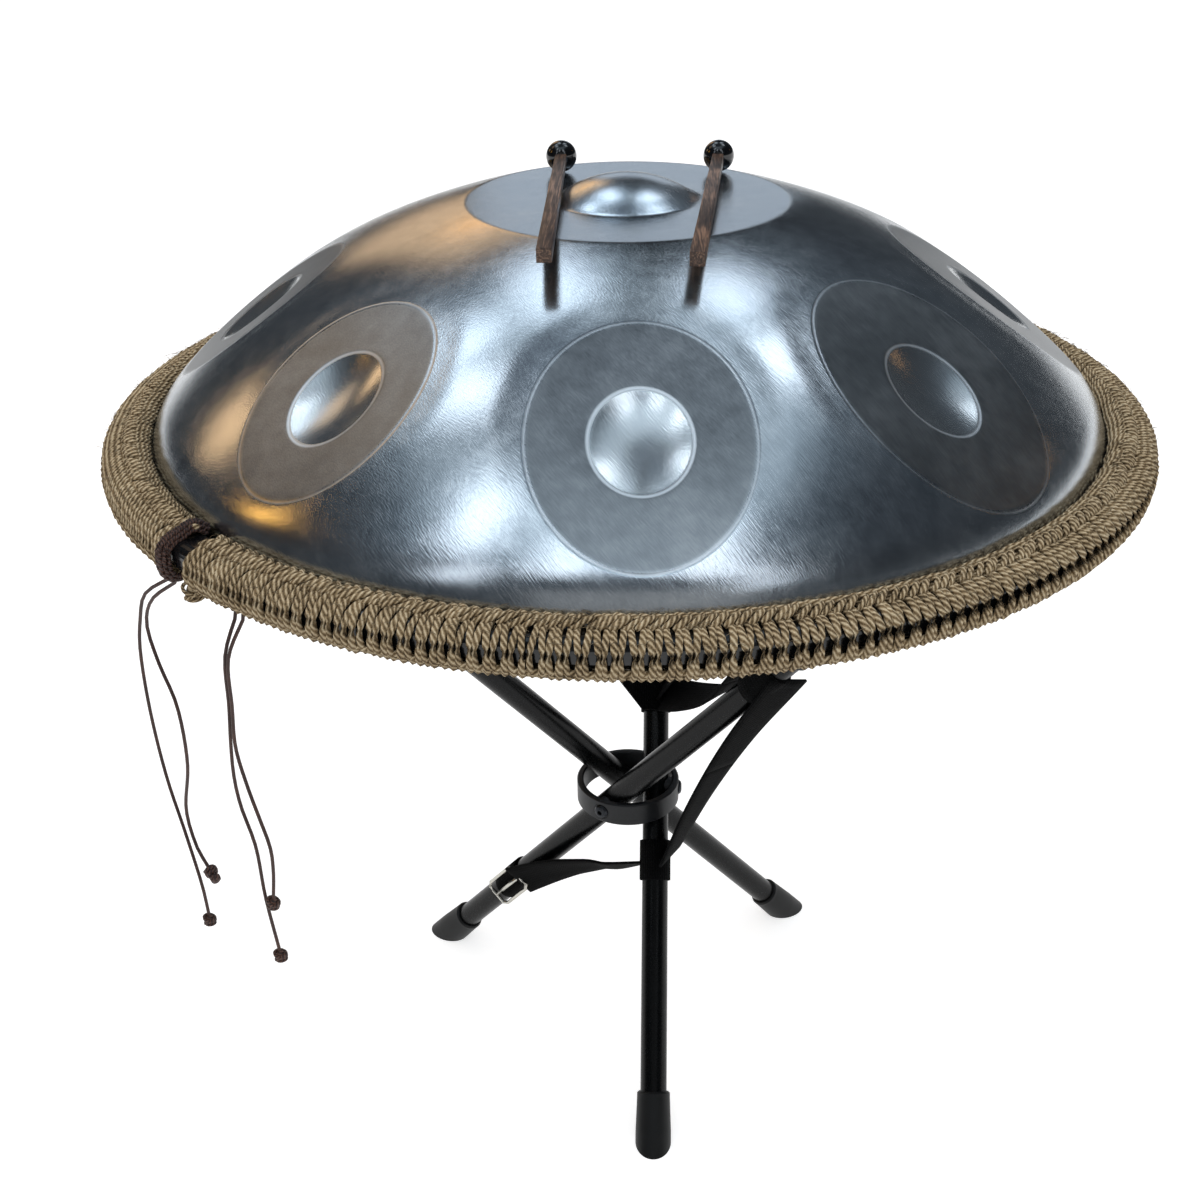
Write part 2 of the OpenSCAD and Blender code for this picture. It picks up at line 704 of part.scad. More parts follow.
top_shell();
bottom_shell();
rim_bond();
rim_trim();
rope_wrap();
rope_chain();
rope_whipping();
rope_knot();
tie_cord(tie_route_a1);  // tie_cord_a1
tie_cord(tie_route_a2);  // tie_cord_a2
tie_cord(tie_route_b1);  // tie_cord_b1
tie_cord(tie_route_b2);  // tie_cord_b2
tie_beads();
hub();
leg_tube(1);  // leg_tube_1
leg_tube(2);  // leg_tube_2
leg_tube(3);  // leg_tube_3
leg_foot(1);  // leg_foot_1
leg_foot(2);  // leg_foot_2
leg_foot(3);  // leg_foot_3
leg_tip(1);  // leg_tip_1
leg_tip(2);  // leg_tip_2
leg_tip(3);  // leg_tip_3
pivot_screw(1);  // pivot_screw_1
pivot_screw(2);  // pivot_screw_2
pivot_screw(3);  // pivot_screw_3
pivot_plug(1);  // pivot_plug_1
pivot_plug(2);  // pivot_plug_2
pivot_plug(3);  // pivot_plug_3
pivot_washer(1);  // pivot_washer_1
pivot_washer(2);  // pivot_washer_2
pivot_washer(3);  // pivot_washer_3
strap_loop(3, loop_low_z);  // strap_loop_low
strap_loop(1, loop_front_z);  // strap_loop_front
strap_loop(3, loop_high_z);  // strap_loop_high
strap_loop(1, loop_back_z);  // strap_loop_back
strap_buckle();
strap_run(run_low, run_low_width);  // strap_run_low
strap_run(run_diagonal, run_diagonal_width);  // strap_run_diagonal
strap_run(run_upper, run_upper_width);  // strap_run_upper
strap_run(run_return, run_upper_width);  // strap_run_return
strap_tail();
at_left() mallet_handle();  // mallet_handle_left
at_right() mallet_handle();  // mallet_handle_right
at_left() mallet_ball();  // mallet_ball_left
at_right() mallet_ball();  // mallet_ball_right
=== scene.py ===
# %% [markdown]
# # A handpan on its folding stand
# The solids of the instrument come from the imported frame. Here each visible surface gets
# its finish, and the pieces that a plain solid can't show are modelled again in detail:
# the dimpled steel shell, the hitched rope round the rim, the tie cords, the webbing strap
# of the stand, and the two mallets. The measures written here are in millimetres, as on a
# drawing, and MM turns them into Blender's metres.

# %% Imports and the frame
import json
import math

import bpy
import numpy as np
from mathutils import Matrix, Vector
from mathutils.geometry import delaunay_2d_cdt
from mathutils.kdtree import KDTree

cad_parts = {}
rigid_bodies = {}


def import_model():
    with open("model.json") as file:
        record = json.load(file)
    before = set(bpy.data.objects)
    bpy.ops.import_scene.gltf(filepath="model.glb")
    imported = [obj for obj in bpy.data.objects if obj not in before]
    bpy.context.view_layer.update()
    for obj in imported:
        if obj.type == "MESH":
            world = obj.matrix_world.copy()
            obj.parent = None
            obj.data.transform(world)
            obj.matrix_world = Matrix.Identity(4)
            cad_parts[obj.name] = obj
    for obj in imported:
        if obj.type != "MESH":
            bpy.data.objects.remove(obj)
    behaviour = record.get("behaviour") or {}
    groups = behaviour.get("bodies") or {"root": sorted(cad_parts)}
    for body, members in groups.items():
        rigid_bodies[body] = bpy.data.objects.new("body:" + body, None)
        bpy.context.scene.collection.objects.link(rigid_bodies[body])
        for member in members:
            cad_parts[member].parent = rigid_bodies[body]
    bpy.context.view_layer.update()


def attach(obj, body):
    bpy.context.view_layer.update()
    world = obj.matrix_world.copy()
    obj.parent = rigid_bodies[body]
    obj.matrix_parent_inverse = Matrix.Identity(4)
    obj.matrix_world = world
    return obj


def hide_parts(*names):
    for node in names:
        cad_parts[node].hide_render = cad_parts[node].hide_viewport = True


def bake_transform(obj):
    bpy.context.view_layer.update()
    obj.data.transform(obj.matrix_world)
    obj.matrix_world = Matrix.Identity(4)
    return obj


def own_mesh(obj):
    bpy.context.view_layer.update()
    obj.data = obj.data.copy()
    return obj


MM = 0.001
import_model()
rng = np.random.default_rng(11)

# %% [markdown]
# ## Camera
# The camera stands a little above the pan and looks down at it by 28 degrees, as a maker
# shows such an instrument. It comes first, because the loose tie cords are measured
# against its view.

# %% Camera
LENS = 48.0
SENSOR = 36.0
CAMERA_AT = Vector((18.16, -838.22, 743.24)) * MM
PITCH, YAW, ROLL = (math.radians(a) for a in (28.026, -2.349, -0.714))

ahead = Vector((math.sin(YAW) * math.cos(PITCH), math.cos(YAW) * math.cos(PITCH),
                -math.sin(PITCH)))
level = Vector((math.cos(YAW), -math.sin(YAW), 0))
above = level.cross(ahead)
side = level * math.cos(ROLL) + above * math.sin(ROLL)
up = above * math.cos(ROLL) - level * math.sin(ROLL)

camera_data = bpy.data.cameras.new("camera")
camera_data.lens, camera_data.sensor_width = LENS, SENSOR
camera_data.clip_start, camera_data.clip_end = 0.01, 50
camera = bpy.data.objects.new("camera", camera_data)
camera.matrix_world = Matrix((
    (side.x, up.x, -ahead.x, CAMERA_AT.x),
    (side.y, up.y, -ahead.y, CAMERA_AT.y),
    (side.z, up.z, -ahead.z, CAMERA_AT.z),
    (0, 0, 0, 1)))
bpy.context.scene.collection.objects.link(camera)
bpy.context.scene.camera = camera
bpy.context.scene.view_settings.view_transform = "Standard"
print("camera looks from", [round(v, 3) for v in camera.location])


# %% [markdown]
# ## A few helpers for materials
# Every colour is written as a hex value, as a painter would note it, and one function
# turns it into Blender's linear light. One small function adds a shader node, sets it and
# links it, so that each material below reads as a short recipe.

# %% Colour and shader helpers
def srgb(code):
    """A hex colour as linear red, green, blue and alpha."""
    parts = [int(code[i:i + 2], 16) / 255 for i in (1, 3, 5)]
    return (*[c / 12.92 if c <= 0.04045 else ((c + 0.055) / 1.055) ** 2.4
              for c in parts], 1)


def add(tree, kind, inputs=None, stops=(), **settings):
    """Adds a shader node; an input may be a value, a node or one of a node's outputs."""
    made = tree.nodes.new(kind)
    for name, value in settings.items():
        setattr(made, name, value)
    for name, value in (inputs or {}).items():
        if isinstance(value, bpy.types.Node):
            value = value.outputs[0]
        if isinstance(value, bpy.types.NodeSocket):
            tree.links.new(value, made.inputs[name])
        else:
            made.inputs[name].default_value = value
    if stops:
        while len(made.color_ramp.elements) < len(stops):
            made.color_ramp.elements.new(0.5)
        for element, (place, colour) in zip(made.color_ramp.elements, stops):
            element.position, element.color = place, srgb(colour)
    return made


def start_material(name, **values):
    """A material with one Principled shader, whose sockets are set directly."""
    made = bpy.data.materials.new(name)
    made.use_nodes = True
    shader = made.node_tree.nodes["Principled BSDF"]
    for key, value in values.items():
        shader.inputs[key.replace("_", " ")].default_value = value
    return made, made.node_tree, shader


def finish_surface(tree, shader, colour, relief, strength, depth_mm, rough=None):
    """Links a recipe's colour and roughness to its shader, and its relief as a bump."""
    bump = add(tree, "ShaderNodeBump", {"Height": relief, "Strength": strength,
                                        "Distance": depth_mm * MM})
    for value, socket in ((colour, "Base Color"), (rough, "Roughness"), (bump, "Normal")):
        if value is not None:
            start = value.outputs[0] if isinstance(value, bpy.types.Node) else value
            tree.links.new(start, shader.inputs[socket])


def paint(piece, material):
    """Gives a piece one material in place of those it had."""
    piece.data.materials.clear()
    piece.data.materials.append(material)


# %% [markdown]
# ## Floor and light
# The floor and the backdrop are white only to the camera and in reflections; to the rest
# of the scene they are plain pale surfaces. Brushed steel shows the room that it stands
# in, so the room matters as much as the steel. Only mirrored rays see it: dark walls, a
# pale band high up that is brighter at some turns, as under a row of windows, and a dim
# ceiling. Soft lamps stand round the pan, most of them at window height, and a few small
# warm ones, mostly at the left and behind, put the golden glints on the steel.

# %% World
world = bpy.data.worlds.new("studio")
bpy.context.scene.world = world
world.use_nodes = True
tree = world.node_tree
tree.nodes.clear()
path = add(tree, "ShaderNodeLightPath")
direction = add(tree, "ShaderNodeTexCoord").outputs["Generated"]
# height above the horizon, leaning a little to the left and back, where the room is
# lighter: white floor, dark walls, the pale band, then the ceiling
height = add(tree, "ShaderNodeVectorMath", {0: direction, 1: (-0.07, 0.09, 0.99)},
             operation="DOT_PRODUCT")
room = add(tree, "ShaderNodeValToRGB", {0: height.outputs["Value"]},
           stops=((0.0, "#ffffff"), (0.02, "#f0f2f4"), (0.06, "#3b3f43"), (0.5, "#373d43"),
                  (0.72, "#444c54"), (0.81, "#6c7985"), (0.85, "#cfe3f2"), (0.94, "#d6e8f5"),
                  (0.965, "#74808c"), (1.0, "#6c7783")))
# the room's windows: how bright it is, up to 255, at each turn from the front in degrees,
# left side first
xyz = add(tree, "ShaderNodeSeparateXYZ", {0: direction})
forward = add(tree, "ShaderNodeMath", {0: xyz.outputs["Y"], 1: -1.0}, operation="MULTIPLY")
turned = add(tree, "ShaderNodeMath", {0: xyz.outputs["X"], 1: forward}, operation="ARCTAN2")
turned = add(tree, "ShaderNodeMapRange", {0: turned, 1: -math.pi, 2: math.pi})
windows = [(-180, 110), (-172, 245), (-125, 240), (-112, 230), (-100, 190), (-84, 170),
           (-72, 230), (-58, 255), (42, 250), (56, 215), (70, 210), (115, 225), (134, 245),
           (160, 255), (168, 190), (174, 95)]
sides = add(tree, "ShaderNodeValToRGB", {0: turned},
            stops=[((turn + 180) / 360, "#" + f"{level:02x}" * 3) for turn, level in windows])
raised = add(tree, "ShaderNodeMapRange", {0: height.outputs["Value"], 1: 0.1, 2: 0.3})
room = add(tree, "ShaderNodeMix", {0: raised, 6: room, 7: sides}, data_type="RGBA",
           blend_type="MULTIPLY").outputs[2]
mirrored = add(tree, "ShaderNodeMath", {0: path.outputs["Is Glossy Ray"],
                                        1: path.outputs["Is Transmission Ray"]},
               operation="MAXIMUM")
room_light = add(tree, "ShaderNodeBackground", {0: room, 1: 1.25})
fill_light = add(tree, "ShaderNodeBackground", {0: srgb("#cfd0d1"), 1: 0.95})
white_light = add(tree, "ShaderNodeBackground", {0: srgb("#ffffff"), 1: 1.0})
indoors = add(tree, "ShaderNodeMixShader", {0: mirrored, 1: fill_light, 2: room_light})
behind = add(tree, "ShaderNodeMixShader", {0: path.outputs["Is Camera Ray"],
                                           1: indoors, 2: white_light})
add(tree, "ShaderNodeOutputWorld", {"Surface": behind})


# %% Floor
bpy.ops.mesh.primitive_circle_add(vertices=64, radius=9.0, fill_type="NGON")
floor = bpy.context.object
floor.name = "floor"
floor_paint, tree, shader = start_material("white_paper", Roughness=0.9)
path = add(tree, "ShaderNodeLightPath")
seen = add(tree, "ShaderNodeMath", {0: path.outputs["Is Camera Ray"],
                                    1: path.outputs["Is Glossy Ray"]}, operation="MAXIMUM")
glow = add(tree, "ShaderNodeEmission", {0: srgb("#ffffff"), 1: 0.62})
shader.inputs["Base Color"].default_value = srgb("#e6e6e6")
both = add(tree, "ShaderNodeAddShader", {0: shader, 1: glow})
choose = add(tree, "ShaderNodeMixShader", {0: seen, 1: shader, 2: both})
tree.links.new(choose.outputs[0], tree.nodes["Material Output"].inputs["Surface"])
paint(floor, floor_paint)

# %% Lamps
MIDDLE = Vector((0, 0, 0.45))
# turn from the front towards +X and height, both in degrees; distance and size in metres;
# power in watts; colour
LAMPS = {
    "front_left": (-50, 57, 2.4, (0.35, 0.6), 1.6, "#eef6ff"),
    "front_middle": (-17, 54, 2.4, (0.36, 0.6), 1.7, "#eef6ff"),
    "front_right": (25, 54, 2.4, (0.46, 0.72), 2.5, "#eef6ff"),
    "low_left": (-40, 38, 2.4, (0.34, 0.8), 1.6, "#eef6ff"),
    "low_right": (33, 38, 2.4, (0.3, 0.8), 1.4, "#eef6ff"),
    "right": (122, 62, 2.4, (0.5, 0.55), 2.0, "#eef6ff"),
    "back_right": (157, 56, 2.4, (0.45, 0.6), 1.5, "#e6f2ff"),
    "back_left": (-161, 56, 2.4, (0.4, 0.8), 1.7, "#e6f2ff"),
    "side_left": (-128, 57, 2.4, (0.5, 0.4), 1.2, "#e6f2ff"),
    "left": (-101, 65, 2.4, (0.45, 0.6), 1.9, "#eaf4ff"),
    "back": (178, 16, 2.4, (0.9, 0.7), 1.5, "#dfeaf6"),
    "front": (5, 25, 2.6, (2.2, 1.0), 1.8, "#ffffff"),
    "warm_back": (-160, 24, 2.4, (0.7, 1.3), 2.5, "#ffd4a4"),
    "gold_back": (-162, 27, 2.3, (0.3, 0.16), 0.25, "#ffae4a"),
    "amber_left": (-116, 42, 2.4, (0.7, 0.6), 1.2, "#ffd8ab"),
    "gold_left": (-92, 25, 2.4, (0.13, 0.42), 1.2, "#ffbc58"),
    "warm_left": (-119, 20, 2.4, (0.35, 0.4), 1.0, "#f6c994"),
    "gold_right": (113, 23, 2.4, (0.08, 0.2), 0.1, "#ffc07a"),
}
for name, (turn, rise, distance, size, power, colour) in LAMPS.items():
    data = bpy.data.lights.new("lamp_" + name, "AREA")
    data.shape, data.size, data.size_y = "RECTANGLE", size[0], size[1]
    data.energy, data.color = power, srgb(colour)[:3]
    turn, rise = math.radians(turn), math.radians(rise)
    lamp = bpy.data.objects.new("lamp_" + name, data)
    lamp.location = MIDDLE + distance * Vector((math.sin(turn) * math.cos(rise),
                                                -math.cos(turn) * math.cos(rise),
                                                math.sin(rise)))
    lamp.rotation_euler = (MIDDLE - lamp.location).to_track_quat("-Z", "Y").to_euler()
    bpy.context.scene.collection.objects.link(lamp)
print("soft lamps:", len(LAMPS))


# %% [markdown]
# ## The instrument's own measures
# The top shell and the rope are drawn from the same few sizes as the solids: a dome, eight
# tone fields, a crown plate, a centre note, and the rope round the rim. They are written
# once here, in millimetres; the stand's and the mallets' stand with their own pieces.

# %% Measures
RIM_Z = 418.187
FLANGE_R, BASE_R, WALL, BOND = 270.0, 258.0, 1.2, 0.4
CROWN_R, CROWN_RISE, CROWN_EDGE_R = 342.0, 127.5, 246.0
DOME_STEPS = 200
CROWN_Z0 = CROWN_RISE - CROWN_R
PLATE_R, DING_R, DING_RISE = 85.0, 38.0, 12.5
PLATE_Z = CROWN_Z0 + math.sqrt(CROWN_R ** 2 - PLATE_R ** 2)
DING_SPHERE = (DING_R ** 2 + DING_RISE ** 2) / (2 * DING_RISE)
FIELD_TILT, FIELD_TURN = math.radians(35.5), math.radians(3)
FIELD_W = [103, 113, 108, 92, 84, 88, 90, 94]
FIELD_STRETCH = 1.27
DIMPLE_DEPTH, DIMPLE_HALF = 4.5, (23.5, 28.0)
ROPE_OUT, ROPE_BOTTOM = 283.6, -12.1
GAP_TURN, GAP_W = math.radians(-46), 15.0
gap_half = GAP_W / ROPE_OUT / 2
print("crown plate at", round(RIM_Z + PLATE_Z, 1), "mm")


# %% [markdown]
# ## Round strands
# Cord, rope, whipping and wire are all round strands that follow a path. One function
# lays a tube of a few sides along a list of points and gives it a UV map in metres, so
# that a material can wind the twist of the cord round it at its real pitch.

# %% Tubes along a path
def unit(v):
    return v / np.maximum(np.linalg.norm(v, axis=-1, keepdims=True), 1e-12)


def smooth_path(points, count):
    """A smooth curve through points, resampled to count points of equal spacing."""
    p = np.asarray(points, float)
    ends = np.vstack([2 * p[0] - p[1], p, 2 * p[-1] - p[-2]])
    fine = []
    for i in range(len(p) - 1):
        a, b, c, d = ends[i:i + 4]
        for s in np.linspace(0, 1, 24, endpoint=False):
            fine.append(0.5 * (2 * b + (c - a) * s + (2 * a - 5 * b + 4 * c - d) * s ** 2
                               + (3 * b - a - 3 * c + d) * s ** 3))
    fine = np.array(fine + [p[-1]])
    run = np.concatenate([[0], np.cumsum(np.linalg.norm(np.diff(fine, axis=0), axis=1))])
    where = np.linspace(0, run[-1], count)
    return np.stack([np.interp(where, run, fine[:, k]) for k in range(3)], axis=1)


def headings(path, closed):
    """Unit directions along a path."""
    if closed:
        return unit(np.roll(path, -1, 0) - np.roll(path, 1, 0))
    return unit(np.gradient(path, axis=0))


def square_to(ahead, lean):
    """Unit directions that stand square to ahead, as near to lean as they can."""
    return unit(lean - ahead * np.sum(lean * ahead, 1, keepdims=True))


def skin(rings, path, v, closed):
    """Points, faces and UVs of rings of points along a path in mm; u is in metres."""
    n, sides = rings.shape[:2]
    run = np.concatenate([[0], np.cumsum(np.linalg.norm(np.diff(path, axis=0), axis=1))])
    whole = run[-1] + np.linalg.norm(path[0] - path[-1])
    faces, uvs = [], []
    for i in range(n if closed else n - 1):
        j = (i + 1) % n
        u0, u1 = run[i] * MM, (run[j] if j else whole) * MM
        for k in range(sides):
            m = (k + 1) % sides
            faces.append((i * sides + k, j * sides + k, j * sides + m, i * sides + m))
            uvs += [(u0, v[k]), (u1, v[k]), (u1, v[k + 1]), (u0, v[k + 1])]
    if not closed:
        faces.append(tuple(range(sides)))
        uvs += [(0, v[k]) for k in range(sides)]
        faces.append(tuple((n - 1) * sides + k for k in reversed(range(sides))))
        uvs += [(run[-1] * MM, v[k]) for k in reversed(range(sides))]
    return rings.reshape(-1, 3), faces, uvs


def tube_parts(path, width, sides=6, across=None, closed=False, taper=0.0):
    """Points, faces and UVs of a tube in mm; across leans its cross-section."""
    path = np.asarray(path, float)
    ahead = headings(path, closed)
    start = np.array([0, 0, 1.0]) if across is None else np.asarray(across, float)
    start = np.broadcast_to(start, path.shape)
    if across is None:
        start = np.where(np.abs(ahead[:, 2:3]) > 0.9, np.array([[0, 1.0, 0]]), start)
    one = square_to(ahead, start)
    two = np.cross(ahead, one)
    turn = np.linspace(0, 2 * np.pi, sides, endpoint=False)[None, :, None]
    size = np.ones(len(path))
    if taper:
        size = 1 - (1 - taper) * np.abs(np.linspace(-1, 1, len(path))) ** 4
    rings = path[:, None] + size[:, None, None] * width / 2 * (
        np.cos(turn) * one[:, None] + np.sin(turn) * two[:, None])
    return skin(rings, path, [k / sides for k in range(sides + 1)], closed)


# %% Pieces from points
def pick(piece):
    """Selects one piece alone, because an operator acts on all that is selected."""
    bpy.ops.object.select_all(action="DESELECT")
    bpy.context.view_layer.objects.active = piece
    piece.select_set(True)


def face_outward(piece):
    """Turns all faces of a piece the same way, outwards."""
    pick(piece)
    bpy.ops.object.mode_set(mode="EDIT")
    bpy.ops.mesh.select_all(action="SELECT")
    bpy.ops.mesh.normals_make_consistent(inside=False)
    bpy.ops.object.mode_set(mode="OBJECT")


def dress(piece, material, slot, body, *nodes):
    """Paints a piece, lets it ride on a body and hides the solids that it stands for."""
    paint(piece, material)
    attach(piece, body)
    if nodes:
        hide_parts(*nodes)


def piece_from(name, parts, smooth=True):
    """One object from a list of (points in mm, faces, uvs)."""
    points, faces, uvs, base = [], [], [], 0
    for p, f, u in parts:
        points.append(p)
        faces += [tuple(v + base for v in face) for face in f]
        uvs += u
        base += len(p)
    mesh = bpy.data.meshes.new(name)
    mesh.from_pydata((np.vstack(points) * MM).tolist(), [], faces)
    layer = mesh.uv_layers.new(name="along")
    layer.data.foreach_set("uv", np.asarray(uvs, np.float32).ravel())
    mesh.polygons.foreach_set("use_smooth", [smooth] * len(mesh.polygons))
    made = bpy.data.objects.new(name, mesh)
    bpy.context.scene.collection.objects.link(made)
    face_outward(made)
    return made


def round_rim(angle, r, z):
    """A point at a direction from the front towards +X, in mm."""
    return np.stack([r * np.sin(angle), -r * np.cos(angle),
                     RIM_Z + z + 0 * np.asarray(angle)], axis=-1)


# %% [markdown]
# ## Twisted cord
# Jute twine is a few plies wound round each other. Seen close, that gives slanting
# highlights with dark grooves between them. The material winds a wave round each strand
# from its UV map, then breaks it up with fibre noise and fades the colour in patches.

# %% Twine material
def twine(name, dark, mid, light, ply_mm, depth_mm, plies=3, roughness=0.9):
    """Twisted yarn: u runs along the strand in metres and v round it."""
    made, tree, shader = start_material(name, Roughness=roughness)
    uv = add(tree, "ShaderNodeSeparateXYZ", {0: add(tree, "ShaderNodeUVMap", uv_map="along")})
    along = add(tree, "ShaderNodeMath", {0: uv.outputs["X"], 1: 1000 / ply_mm},
                operation="MULTIPLY")
    wound = add(tree, "ShaderNodeMath", {0: uv.outputs["Y"], 1: float(plies), 2: along},
                operation="MULTIPLY_ADD")
    angle = add(tree, "ShaderNodeMath", {0: wound, 1: 2 * math.pi}, operation="MULTIPLY")
    wave = add(tree, "ShaderNodeMath", {0: angle}, operation="SINE")
    place = add(tree, "ShaderNodeTexCoord").outputs["Object"]
    fibre = add(tree, "ShaderNodeTexNoise", {0: place, "Scale": 1500.0, "Detail": 3.0})
    patch = add(tree, "ShaderNodeTexNoise", {0: place, "Scale": 90.0, "Detail": 2.0})
    # the wave's share of the tone is painted highlight on each ply and painted shade in the
    # grooves between plies; the fibre and patch shares are the twine's own colour
    tone = 0.1
    for part, share in ((wave, 0.2), (fibre, 0.45), (patch, 0.35)):
        tone = add(tree, "ShaderNodeMath", {0: part, 1: share, 2: tone},
                   operation="MULTIPLY_ADD")
    colour = add(tree, "ShaderNodeValToRGB", {0: tone},
                 stops=((0.24, dark), (0.5, mid), (0.78, light)))
    relief = add(tree, "ShaderNodeMath", {0: fibre, 1: 0.5, 2: wave},
                 operation="MULTIPLY_ADD")
    finish_surface(tree, shader, colour, relief, 0.9, depth_mm)
    return made


jute = twine("jute_twine", "#46361f", "#a58c67", "#e2d0ae", ply_mm=3.2, depth_mm=0.3)
waxed = twine("waxed_cord", "#180b09", "#38201a", "#6a4a3c", ply_mm=1.6, depth_mm=0.12,
              plies=2, roughness=0.55)


# %% [markdown]
# ## Tie cords
# Four ends of a dark waxed cord hang from the rope cover, two of them from under the
# whipping. Each ends in a knot with a small bead. They are limp, so they fall in slow
# curves beside the stand; each is one curve with a round section, and its real length is
# measured and printed.

# %% Cord routes
# points in mm, the heights from the rim's middle
TIE_ROUTES = {
    "a1": [(-210, -176, -13.5), (-210.5, -175.5, -17), (-228, -166, -31), (-236, -157, -50),
           (-241, -151, -73), (-241, -151, -108), (-236, -157, -143), (-227, -168, -170),
           (-219, -178, -196), (-217, -180, -215)],
    "a2": [(-206.5, -180, -13.5), (-207, -180, -17), (-223, -172, -31), (-231, -163, -50),
           (-226, -169, -68), (-216, -181, -86), (-215, -182, -118), (-223, -172, -153),
           (-219, -177, -172), (-211, -187, -178)],
    "b1": [(-166.5, -217, -12.3), (-166.7, -217.2, -16), (-175, -221, -35),
           (-177, -219, -62), (-178, -219, -84), (-174, -222, -104), (-169, -226, -120),
           (-165, -229, -134), (-165, -229, -148), (-167, -228, -165)],
    "b2": [(-170.5, -214, -12.3), (-170.8, -214.2, -16), (-177, -219, -35),
           (-179, -217, -62), (-181, -216, -84), (-182, -215, -103), (-180, -217, -119),
           (-174, -222, -139), (-172, -224, -168), (-168, -226, -199)],
}
TIE_D, BEAD_D = 1.8, 6.0


def knot_parts(centre, down, size):
    """A small knotted bead: turns of cord wound round a ball, in mm."""
    down = unit(np.asarray(down, float))
    side_one = unit(np.cross(down, [0.3, 1, 0.2]))
    side_two = np.cross(down, side_one)
    parts = []
    for lean, wide, place in ((0.45, 1.0, -0.22), (-0.5, 1.0, 0.12), (0.1, 0.86, 0.42)):
        turn = np.linspace(0, 2 * np.pi, 14, endpoint=False)
        radius = (size / 2 - 0.75) * wide
        ring = (centre + place * size * 0.6 * down
                + radius * (np.cos(turn)[:, None] * side_one
                            + np.sin(turn)[:, None] * side_two)
                + lean * radius * np.cos(turn)[:, None] * down)
        parts.append(tube_parts(ring, 1.9, across=down, closed=True))
    core = [centre - down * size * 0.42, centre, centre + down * size * 0.42]
    parts.append(tube_parts(smooth_path(core, 5), size * 0.62, 8, across=side_one, taper=0.4))
    return parts


# %% Cords and beads
beads, cord_lengths = {}, {}
for name, points in TIE_ROUTES.items():
    route = smooth_path([(x, y, z + RIM_Z) for x, y, z in points], 32)
    curve = bpy.data.curves.new("tie_" + name, "CURVE")
    curve.dimensions = "3D"
    curve.bevel_depth, curve.bevel_resolution = TIE_D / 2 * MM, 2
    curve.use_fill_caps = True
    line = curve.splines.new("POLY")
    line.points.add(len(route) - 1)
    line.points.foreach_set("co", np.hstack([route * MM, np.ones((len(route), 1))]).ravel())
    line.use_smooth = True
    cord = bpy.data.objects.new("tie_" + name, curve)
    bpy.context.scene.collection.objects.link(cord)
    way = unit(route[-1] - route[-2])
    centre = route[-1] + way * (BEAD_D / 2 + 0.05)
    turns = knot_parts(centre, way, BEAD_D * 1.15)
    if name == "a2":
        turns += knot_parts(centre + way * 5.15, way, BEAD_D * 0.85)
    beads[name] = piece_from("bead_" + name, turns)
    length = np.linalg.norm(np.diff(route, axis=0), axis=1).sum()
    cord_lengths[name] = round(float(length), 1)
    dress(cord, waxed, "waxed_cord", "pan", "tie_cord_" + name)
    dress(beads[name], waxed, "waxed_cord", "pan")
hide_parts("tie_beads")
print("tie cords, mm:", cord_lengths)


# %% [markdown]
# ## The steel top shell
# A handpan's top is one sheet of steel, pressed to a dome and hammered until each tone
# field is nearly flat, with a shallow dimple in its middle. The eight fields are ellipses
# with a crisp, faint shoulder, which no spun or subdivided dome gives, so its points are
# laid out on purpose: even rings over the dome, and close rings along each shoulder and
# each dimple's edge. Blender joins them into triangles, and each point's height comes
# from the dome, less what the hammer took away. Solidify then gives the sheet its wall.

# %% Shape of the sheet
def dome_profile():
    """Radius and height of the spun sheet, from the top to the flange's edge, in mm."""
    edge_z = CROWN_Z0 + math.sqrt(CROWN_R ** 2 - CROWN_EDGE_R ** 2)
    tilt = math.asin(CROWN_EDGE_R / CROWN_R)
    run = BASE_R - CROWN_EDGE_R
    chord = math.hypot(run, edge_z)
    side_r = chord / (2 * math.sin(math.atan2(edge_z, run) - tilt))
    centre = (CROWN_EDGE_R - side_r * math.sin(tilt), edge_z - side_r * math.cos(tilt))
    dome = [(CROWN_R * math.sin(a), CROWN_Z0 + CROWN_R * math.cos(a))
            for a in np.linspace(0, tilt, DOME_STEPS)]
    low = math.acos((WALL - centre[1]) / side_r)
    side_arc = [(centre[0] + side_r * math.sin(a), centre[1] + side_r * math.cos(a))
                for a in np.linspace(tilt, low, 40)[1:]]
    return np.array(dome + side_arc + [(FLANGE_R, WALL)])


PROFILE = dome_profile()
PROFILE_TILT = np.arctan2(PROFILE[:, 0], PROFILE[:, 1] - CROWN_Z0)
PROFILE_REACH = np.hypot(PROFILE[:, 0], PROFILE[:, 1] - CROWN_Z0)
# ridges between the fields: their height, and how far down the dome they run
RIDGE, RIDGE_FROM, RIDGE_TO = 1.0, 0.27, 0.77
FAR = 9.0


def soft_min(a, b, k):
    """The lower of two heights, with the crease rounded over k."""
    return np.minimum(a, b) - np.maximum(k - np.abs(a - b), 0) ** 2 / (4 * k)


def field_axes(k):
    """Directions across, up the slope and out of tone field k."""
    turn = FIELD_TURN + k * math.pi / 4
    away = np.array([math.sin(turn), -math.cos(turn), 0])
    out = math.sin(FIELD_TILT) * away + math.cos(FIELD_TILT) * np.array([0, 0, 1.0])
    across = np.array([math.cos(turn), math.sin(turn), 0])
    return across, np.cross(out, across), out


def edge_distance(t, m, half_w, half_l):
    """About how far, in mm, points lie outside the edge of an ellipse."""
    share = np.maximum(np.hypot(t / half_w, m / half_l), 1e-6)
    return share * (share - 1) / np.maximum(np.hypot(t / half_w ** 2, m / half_l ** 2), 1e-9)


